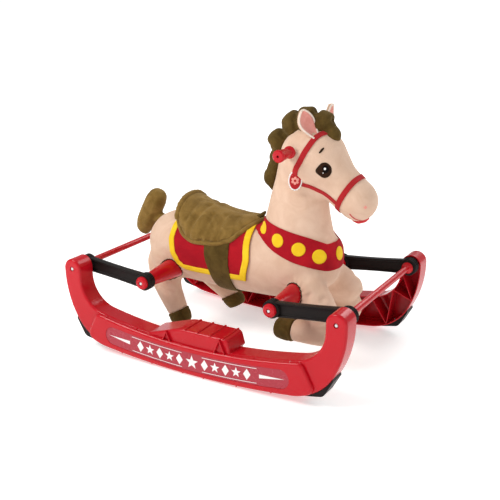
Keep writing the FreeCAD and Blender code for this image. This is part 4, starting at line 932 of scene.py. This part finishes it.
girth = {"turn": (50, 310), "steps": 60, "thick": 0.0026, "lift": 0.0050,
         "rear": [(0.15, -0.060), (0.23, -0.062), (0.30, -0.080), (0.36, -0.086)],
         "front": [(0.15, 0.000), (0.23, 0.006), (0.30, 0.002), (0.36, -0.004)]}
rows = []
for step in range(girth["steps"] + 1):
    angle = math.radians(girth["turn"][0] + (girth["turn"][1] - girth["turn"][0]) * step / girth["steps"])
    z = level + body["halfHigh"] * math.cos(angle)
    rear, front = between(girth["rear"], z), between(girth["front"], z)
    rows.append([aroundBack(rear + (front - rear) * column / 12, angle,
                            girth["lift"] - 0.003 * (1 - min(1.0, max(0.0, (z - 0.20) / 0.03)))
                            + 0.0012 * math.sin(column / 12 * math.pi)) for column in range(13)])
girthBand = gridPiece(rows, mapSize=(0.07, 0.5))
faceOut(girthBand, (-0.03, 0, level))
thicken(girthBand, girth["thick"])
applyModifier(girthBand, "BEVEL", width=0.0008, segments=2, limit_method="ANGLE")
finished(girthBand, "girthBand", "brownPlush")
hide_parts("girth_strap")
print("stage: saddle")

# collar

collar = {"centre": mm(190, 0, 353), "tilt": -0.275, "front": 0.0395, "back": 0.026, "thick": 0.0022,
          "dot": 0.0195, "dots": [mm(84, -60, 385), mm(153, -81, 363), mm(218, -87, 347), mm(272, -66, 330)],
          "frontDot": mm(300, 0, 326)}


def collarPoint(degrees):
    turn = math.radians(degrees)
    away = Vector((math.cos(turn), math.sin(turn), collar["tilt"] * math.cos(turn)))
    spot, _, _, _ = skin.ray_cast(collar["centre"] + away * 0.5, -away)
    return spot


def collarHalf(share):
    behind = abs(share - 0.5) * 2
    return collar["front"] + (collar["back"] - collar["front"]) * max(0.0, (behind - 0.45) / 0.55) ** 1.3


def addDot(centre, label):
    dot = patch(skin, centre, lambda angle: collar["dot"], 0.0010, lift=0.0036, rings=5)
    finished(dot, "collarDot" + label, "yellowCloth")


collarLine = [collarPoint(degrees) for degrees in range(-172, 173, 8)]
collarBand = ribbon(skin, collarLine, collarHalf, collar["thick"], lift=0.0012, across=14, step=0.007)
finished(collarBand, "collarBand", "redCloth")
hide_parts("collar")
for index, centre in enumerate(collar["dots"]):
    for side, label in rightLeft:
        addDot(mirrored(centre, side), "%d%s" % (index, label))
addDot(collar["frontDot"], "Front")

# bridle and badges

bridle = {
    "half": 0.0076, "thick": 0.0016, "lift": 0.0008, "jawShare": (0.92, 0.8),
    "cheek": [(196, -70, 540), (203, -83, 566), (217, -86, 591), (233, -77, 625), (249, -46, 655),
              (263, -14, 662)],
    "jaw": [(202, -66, 530), (214, -68, 523), (238, -70, 514), (264, -66, 504), (288, -56, 493),
            (312, -46, 481)],
    "nose": [(359, 0, 549), (352, -28, 542), (341, -44, 524), (326, -48, 498), (312, -34, 470), (306, -14, 456),
             (304, 0, 453)]}


def bothSides(line, loop=False):
    # a line on the right and back along the left; a loop has its two ends on the middle plane
    right = [mm(*p) for p in line]
    return right + [mirrored(p, -1) for p in reversed(right[1:-1] if loop else right)]


def bridleStrap(line, share=(1.0, 1.0), closed=False):
    return ribbon(skin, line, bridle["half"] * share[0], bridle["thick"] * share[1], lift=bridle["lift"],
                  step=0.005, closed=closed, across=4)


browBand = bridleStrap(bothSides(bridle["cheek"]))
finished(browBand, "browBand", "redWebbing")
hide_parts("bridle")
noseStrap = bridleStrap(bothSides(bridle["nose"], loop=True), closed=True)
finished(noseStrap, "noseStrap", "redWebbing")
for side, label in rightLeft:
    jawStrap = bridleStrap([mm(x, y * side, z) for x, y, z in bridle["jaw"]], bridle["jawShare"])
    finished(jawStrap, "jawStrap" + label, "redWebbing")

badge = {"centre": mm(196, -68, 536), "high": 0.0280, "wide": 0.0190, "tilt": 0.06, "proud": 0.0065,
         "facing": Vector((0.35, -0.93, 0.02))}


def oval(high, wide, scallops=0, depth=0.0):
    def radius(angle):
        plain = high * wide / math.hypot(wide * math.cos(angle), high * math.sin(angle))
        return plain * (1 + depth * math.cos(angle * scallops))
    return radius


def petals(size, count):
    return lambda angle: size * (0.62 + 0.38 * abs(math.cos(angle * count / 2)) ** 0.7)


for side, label in rightLeft:
    facing = mirrored(badge["facing"], side).normalized()
    centre = nearest(skin, mirrored(badge["centre"], side))[0] + facing * badge["proud"]
    layers = (("Rim", oval(badge["high"], badge["wide"], 22, 0.04), 0.0, 0.0040, 0.0, 88, "whiteThread"),
              ("Face", oval(badge["high"] - 0.0038, badge["wide"] - 0.0034), 0.0040, 0.0012, 0.0012, 40,
               "redWebbing"),
              ("Flower", petals(0.0112, 6), 0.0058, 0.0008, 0.0, 72, "pinkPlush"),
              ("Heart", lambda angle: 0.0034, 0.0066, 0.0010, 0.0, 24, "redWebbing"))
    for layer, edge, lift, thick, dome, sides, look in layers:
        disc = patch(skin, centre, edge, thick, lift=lift, dome=dome, sides=sides, turn=badge["tilt"],
                     facing=facing)
        finished(disc, "badge%s%s" % (layer, label), look)
        if layer == "Rim":
            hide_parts("badge_" + label.lower())
print("stage: collar and bridle")

# face

face = {"eye": mm(281, -63, 573), "outline": (0.0208, 0.0192), "iris": (0.0182, 0.0165),
        "pupil": (0.0128, 0.0112),
        "smile": [(350, -43, 460), (353, -40, 453), (358, -35, 448), (365, -27, 444), (373, -14, 441)],
        "lip": [(338, 0, 440, 8, 4, 10), (345, 0, 434, 8, 8, 19), (360, 0, 430, -6, 9, 23),
                (375, 0, 434, -20, 8, 17), (386, 0, 441, -30, 4, 8)]}


def almond(high, wide):
    # an oval drawn out to a corner at its rear
    def radius(angle):
        plain = high * wide / math.hypot(wide * math.cos(angle), high * math.sin(angle))
        return plain * (1 + 0.26 * max(0.0, math.cos(angle + 1.70)) ** 10)
    return radius


def beside(centre, ahead, up):
    return Vector((centre.x + ahead * 0.9, centre.y, centre.z + up))


for side, label in rightLeft:
    centre = mirrored(face["eye"], side)
    outline = patch(skin, centre, almond(*face["outline"]), 0.0006, lift=0.0004, rings=6, sides=120)
    finished(outline, "eyeOutline" + label, "darkStitchAndShade")
    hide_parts("eye_%s" % label.lower())
    iris = patch(skin, centre, almond(*face["iris"]), 0.0008, lift=0.0010, dome=0.0022, sides=48)
    finished(iris, "eyeIris" + label, "irisThread")
    pupil = patch(skin, beside(centre, 0.001, 0.001), oval(*face["pupil"]), 0.0006, lift=0.0022, dome=0.0014,
                  sides=40)
    finished(pupil, "eyePupil" + label, "pupilThread")
    for name, ahead, up, size in (("Glint", 0.001, 0.0045, 0.0028), ("GlintSmall", -0.004, -0.006, 0.0012)):
        glint = patch(skin, beside(centre, ahead, up), oval(size * 1.2, size), 0.0006, lift=0.0040, rings=4,
                      sides=24)
        finished(glint, "eye%s%s" % (name, label), "whiteThread")
    brow = patch(skin, Vector((0.267, -0.056 * side, 0.622)), oval(0.0105, 0.0030), 0.0008, lift=0.0006, rings=4,
                 turn=0.75, sides=28)
    finished(brow, "eyebrow" + label, "darkStitchAndShade")
    nostril = patch(skin, Vector((0.384, -0.030 * side, 0.480)), petals(0.0050, 4), 0.0007, lift=0.0003, rings=4,
                    sides=40)
    finished(nostril, "nostril" + label, "pinkPlush")
    smileLine = [mm(x, y * side, z) for x, y, z in face["smile"]]
    smile = ribbon(skin, smileLine, 0.0017, 0.0009, lift=0.0004, step=0.003, across=2)
    finished(smile, "smile" + label, "pinkFelt")

lip = feltedTogether([stuffedTube(millimetres(face["lip"]))], 0.0025, 6)
finished(lip, "lowerLip", "pinkFelt")
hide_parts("lip")

# ears

ears = {
    "right": {"base": mm(246, -45, 648), "tip": mm(212, -60, 727), "half": 0.027,
              "out": Vector((0.93, -0.34, 0.25))},
    "left": {"base": mm(246, 45, 648), "tip": mm(244, 60, 730), "half": 0.025,
             "out": Vector((0.95, 0.20, 0.25))}}


earCup = 0.009


def leafRows(ear, widthShare, lengthShare, back):
    up = ear["tip"] - ear["base"]
    length = up.length
    up.normalize()
    out = (ear["out"] - up * ear["out"].dot(up)).normalized()
    across = up.cross(out)
    rows = []
    for row in range(15):
        share = 0.5 + (row / 14 - 0.5) * lengthShare
        half = ear["half"] * widthShare * (math.sin(math.pi * (0.10 + 0.90 * share) ** 1.55) ** 0.8 + 0.05)
        line = []
        for column in range(11):
            part = column / 10 * 2 - 1
            curl = earCup * (part * part) * (1 - 0.4 * share) - back - 0.010 * math.sin(share * 2.6)
            line.append(ear["base"] + up * (length * share) + across * (half * part) + out * curl)
        rows.append(line)
    return rows


def earLeaf(rows, awayFrom, thickness):
    leaf = gridPiece(rows)
    faceOut(leaf, awayFrom)
    thicken(leaf, thickness, 0.0)
    return refine(leaf, 2)


for label, ear in ears.items():
    outer = earLeaf(leafRows(ear, 1.0, 1.0, 0.0045), ear["base"] + ear["out"] * 0.3, 0.006)
    finished(outer, "earShell" + label.title(), "peachPlush")
    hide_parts("ear_" + label)
    inner = earLeaf(leafRows(ear, 0.80, 0.90, 0.0005), ear["base"] - ear["out"] * 0.3, 0.002)
    finished(inner, "earLining" + label.title(), "pinkPlush")
    rows = leafRows(ear, 0.92, 0.97, 0.0010)
    rim = [row[0] for row in rows[1:]] + [rows[-1][5]] + [row[-1] for row in reversed(rows[1:])]
    edge = cordAlong(evenly(rim, 0.004), 0.0027)
    finished(edge, "earEdge" + label.title(), "creamPlush")
print("stage: face and ears")

# mane and tail

mane = {"lobes": [  # x, z, pitch of the crest, length, height, half width, side shift
    (270, 652, 44, 25, 29, 25, 0), (242, 680, 22, 34, 40, 37, 3), (200, 687, -6, 36, 41, 40, -3),
    (160, 672, -30, 37, 42, 40, 3), (114, 626, -56, 31, 37, 34, -3), (108, 578, -72, 25, 28, 27, 2),
    (84, 518, -96, 25, 22, 20, -2)],
    "crease": (0.0085, 0.0052)}
lobes = []
for index, (x, z, pitch, long, high, wide, shift) in enumerate(mane["lobes"]):
    bpy.ops.object.select_all(action="DESELECT")
    bpy.ops.mesh.primitive_uv_sphere_add(segments=24, ring_count=14, radius=1.0)
    lobe = bpy.context.object
    lobe.scale = (long / 1000, wide / 1000, high / 1000)
    lobe.rotation_euler = (math.radians(10 if index % 2 else -10), math.radians(pitch),
                           math.radians(14 if index % 2 else -14))
    lobe.location = mm(x, shift, z)
    bpy.ops.object.transform_apply(location=True, rotation=True, scale=True)
    lobes.append(lobe)
lobes.append(stuffedTube(millimetres([
    (282, 0, 646, 226, 10, 12), (262, 0, 664, 212, 22, 22), (226, 0, 674, 184, 30, 26), (176, 0, 662, 158, 30, 26),
    (132, 0, 628, 132, 28, 24), (110, 0, 584, 112, 24, 20), (92, 0, 540, 98, 18, 16), (86, 0, 500, 80, 14, 12),
    (92, 0, 482, 70, 5, 5)])))
maneRuffle = feltedTogether(lobes, 0.0035, 3)
points, normals = readPoints(maneRuffle)
for (x, z, pitch, *_), (nextX, nextZ, nextPitch, *_) in zip(mane["lobes"], mane["lobes"][1:]):
    # the dips between the puffs
    middleX, middleZ = (x + nextX) / 2, (z + nextZ) / 2
    turn = math.radians((pitch + nextPitch) / 2)
    up = Vector((math.sin(turn), 0, math.cos(turn)))
    for side in (-1, 1):
        line = [mm(middleX, side * 4, middleZ) + up * 0.036, mm(middleX, side * 20, middleZ) + up * 0.028,
                mm(middleX, side * 32, middleZ) + up * 0.006, mm(middleX, side * 32, middleZ) - up * 0.016]
        pressFold(points, normals, line, *mane["crease"])
writePoints(maneRuffle, points)
refine(maneRuffle, 1)
finished(maneRuffle, "maneRuffle", "brownPlush")
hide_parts("mane")

tailStuffed = [
    stuffedTube(millimetres([
        (-394, 0, 294, -30, 10, 10), (-386, 0, 297, -50, 24, 22), (-371, 0, 324, -60, 32, 28),
        (-349, 0, 364, -62, 34, 30), (-329, 0, 400, -64, 34, 30), (-317, 0, 422, -66, 28, 26),
        (-312, 0, 433, -66, 16, 15)])),
    stuffedTube(millimetres([
        (-352, 0, 350, 12, 14, 12), (-330, 0, 344, 12, 18, 18), (-296, 0, 338, 12, 20, 20)])),
    stuffedTube(millimetres([
        (-376, -4, 300, 0, 12, 12), (-392, -6, 300, 20, 8, 8), (-399, -7, 306, 40, 3.5, 4)]))]
tailBrush = feltedTogether(tailStuffed, 0.0045, 6)
points, normals = readPoints(tailBrush)
for side in (-1, 1):
    for *line, width, depth in (((-322, 26, 404), (-346, 30, 366), (-370, 26, 324), 0.008, 0.0022),
                                ((-342, 22, 398), (-362, 22, 360), (-384, 14, 322), 0.007, 0.0016)):
        pressFold(points, normals, [mm(x, side * y, z) for x, y, z in line], width, depth)
writePoints(tailBrush, points)
refine(tailBrush, 1)
finished(tailBrush, "tailBrush", "goldPlush")
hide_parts("tail")
print("stage: mane and tail")

# elastic arms

arm = {"eye": 0.0238, "halfEye": 0.0138, "bead": 0.0021, "halfHigh": 0.0215, "halfWide": 0.0098, "web": 0.0042,
       "rim": 0.0052, "steps": 24}


def channelStrap(start, end):
    # an upright strap with a deep channel down each side
    along = end - start
    up = along.cross(Vector((0, 1, 0)))
    up = up.normalized() * (1 if up.z > 0 else -1)
    high, wide, web, inner = arm["halfHigh"], arm["halfWide"], arm["web"], arm["halfHigh"] - arm["rim"]
    outline = [(-wide, -high), (wide, -high), (wide, -inner), (web, -inner + 0.002), (web, inner - 0.002),
               (wide, inner), (wide, high), (-wide, high), (-wide, inner), (-web, inner - 0.002),
               (-web, -inner + 0.002), (-wide, -inner)]
    rows = []
    for step in range(arm["steps"] + 1):
        share = step / arm["steps"]
        flare = 1 - 0.10 * math.sin(math.pi * share)
        rows.append([start + along * share + Vector((0, across, 0)) + up * (rise * flare)
                     for across, rise in outline + outline[:1]])
    strap = gridPiece(rows, closedRows=True)
    return applyModifier(turnOutward(strap), "BEVEL", width=0.0014, segments=3, limit_method="ANGLE",
                         angle_limit=0.6)


def ringedEye(centre):
    # a round eye with beads moulded round its rim and on its faces
    bpy.ops.mesh.primitive_cylinder_add(vertices=64, radius=arm["eye"], depth=arm["halfEye"] * 2,
                                        rotation=(math.pi / 2, 0, 0), location=centre)
    parts = [applyModifier(bpy.context.object, "BEVEL", width=0.0016, segments=3, limit_method="ANGLE")]
    beads = [(across, arm["eye"] - 0.0006, 64) for across in (-0.0112, -0.0056, 0.0, 0.0056, 0.0112)]
    beads += [(side * arm["halfEye"], arm["eye"] * 0.66, 48) for side in (-1, 1)]
    for across, radius, segments in beads:
        bpy.ops.mesh.primitive_torus_add(major_radius=radius, minor_radius=arm["bead"], major_segments=segments,
                                         minor_segments=10, rotation=(math.pi / 2, 0, 0),
                                         location=centre + Vector((0, across, 0)))
        parts.append(bpy.context.object)
    return parts


for end in ("front", "rear"):
    for side in ("right", "left"):
        name = "arm_%s_%s" % (end, side)
        fixed, moving = middle(end + "_crossbar"), middle("peg_%s_%s" % (end, side))
        fixed.y = moving.y = middle(name).y
        link = joined([channelStrap(fixed, moving)] + ringedEye(fixed) + ringedEye(moving))
        reach = (moving - fixed).normalized() * (arm["eye"] + 0.004)
        finished(link, "elasticArm%s%s" % (end.title(), side.title()), "blackRubber", body=None)
        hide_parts(name)
        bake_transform(link)
print("stage: arms")

# printed pattern on the rail labels

railPrint = {"curve": 2.150, "level": 0.045, "proud": 0.0003, "pitch": 0.034}


def star(x, z, size):
    return [(x + size * (1.0 if k % 2 == 0 else 0.42) * math.sin(k * math.pi / 5),
             z + size * (1.0 if k % 2 == 0 else 0.42) * math.cos(k * math.pi / 5)) for k in range(10)]


def lozenge(x, z, wide, high):
    return [(x, z + high), (x + wide, z), (x, z - high), (x - wide, z)]


def taper(x0, x1, z, thick):
    steps = [index / 16 for index in range(17)]
    top = [(x0 + (x1 - x0) * t, z + thick * (1 - t) / 2) for t in steps]
    return top + [(x, 2 * z - rise) for x, rise in reversed(top)]


def bar(x0, x1, z, thick):
    steps = [index / 24 for index in range(25)]
    return ([(x0 + (x1 - x0) * t, z + thick / 2) for t in steps]
            + [(x0 + (x1 - x0) * t, z - thick / 2) for t in reversed(steps)])


shapes = [star(0.0, 0.0, 0.021)]
for side in (-1, 1):
    places = [side * (0.042 + index * railPrint["pitch"]) for index in range(5)]
    shapes += [star(x, 0.0, 0.0155) if index % 2 else lozenge(x, 0.0, 0.0115, 0.0165)
               for index, x in enumerate(places)]
    shapes += [taper(side * 0.216, side * 0.292, 0.0, 0.011)]
    shapes += [bar(side * 0.034, side * 0.208, rise, 0.0016) for rise in (-0.0215, 0.0215)]
for side, name in ((-1, "right"), (1, "left")):
    low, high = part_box("label_" + name)
    face = max(abs(low.y), abs(high.y)) + railPrint["proud"]
    pieces = []
    for shape in shapes:
        bpy.ops.object.select_all(action="DESELECT")
        bpy.ops.mesh.primitive_circle_add(vertices=len(shape), radius=1.0, fill_type="NGON")
        flat = bpy.context.object
        for vertex, (x, z) in zip(flat.data.vertices, shape):
            vertex.co = (x, side * face, z + railPrint["level"] + x * x / (2 * railPrint["curve"]))
        flat.data.update()
        faceOut(flat, (0, 0, 0.1))
        pieces.append(flat)
    printed = joined(pieces)
    finished(printed, "labelPrint" + name.title(), "whitePrint", body="base", smooth=False)
print("stage: prints")

# camera, light and floor

camera = {"azimuth": 30.711, "elevation": 18.154, "distance": 2.49406, "lens": 60.33, "roll": -0.4555,
          "target": Vector((0.01169, 0.0, 0.28895))}


def addCamera():
    azimuth, elevation = math.radians(camera["azimuth"]), math.radians(camera["elevation"])
    away = Vector((math.sin(azimuth) * math.cos(elevation), -math.cos(azimuth) * math.cos(elevation),
                   math.sin(elevation)))
    data = bpy.data.cameras.new("camera")
    data.lens = camera["lens"]
    data.sensor_width = 36.0
    eye = bpy.data.objects.new("camera", data)
    bpy.context.scene.collection.objects.link(eye)
    eye.location = camera["target"] + away * camera["distance"]
    look = (-away).to_track_quat("-Z", "Y").to_matrix() @ Matrix.Rotation(math.radians(camera["roll"]), 3, "Z")
    eye.rotation_euler = look.to_euler()
    bpy.context.scene.camera = eye


def addLight(name, location, target, size, power, color=(1, 1, 1)):
    data = bpy.data.lights.new(name, "AREA")
    data.shape = "RECTANGLE"
    data.size, data.size_y = size
    data.energy = power
    data.color = color
    lamp = bpy.data.objects.new(name, data)
    bpy.context.scene.collection.objects.link(lamp)
    lamp.location = location
    lamp.rotation_euler = (Vector(target) - Vector(location)).to_track_quat("-Z", "Y").to_euler()


def addFloor():
    bpy.ops.mesh.primitive_plane_add(size=16.0, location=(0, 0, 0))
    floor = bpy.context.object
    floor.name = "floor"
    material, tree, shader, coords = newMaterial("paleFloor")
    drift = place(tree, "ShaderNodeTexNoise", in_Scale=1.5, in_Detail=2.0)
    tree.links.new(coords.outputs["Object"], drift.inputs["Vector"])
    tree.links.new(blendColor(tree, drift.outputs["Fac"], (0.90, 0.90, 0.90, 1), (0.93, 0.93, 0.93, 1)),
                   shader.inputs["Base Color"])
    setInputs(shader, Emission_Color=(1.0, 1.0, 1.0, 1.0), Roughness=0.6, Specular_IOR_Level=0.2)
    away = place(tree, "ShaderNodeVectorMath", operation="LENGTH")
    tree.links.new(coords.outputs["Object"], away.inputs[0])
    tree.links.new(remap(tree, away.outputs["Value"], 1.0, 3.2, 0.42, 0.85), shader.inputs["Emission Strength"])
    floor.data.materials.append(material)


addCamera()
addFloor()
addLight("keyLight", (-1.5, -1.9, 2.6), (0, 0, 0.3), (1.4, 1.4), 69.0, (1.0, 0.98, 0.95))
addLight("fillLight", (2.6, -2.0, 1.6), (0, 0, 0.3), (2.4, 2.0), 10.0)
addLight("backLight", (0.8, 2.6, 2.4), (0, 0, 0.3), (2.4, 1.4), 44.0)
bpy.context.scene.view_settings.view_transform = "Standard"
world = bpy.data.worlds.new("studio")
world.use_nodes = True
surround = world.node_tree.nodes["Background"]
surround.inputs["Color"].default_value = (1.0, 1.0, 1.0, 1.0)
rayKind = world.node_tree.nodes.new("ShaderNodeLightPath")
world.node_tree.links.new(remap(world.node_tree, rayKind.outputs["Is Camera Ray"], 0.0, 1.0, 0.50, 1.05),
                          surround.inputs["Strength"])
bpy.context.scene.world = world
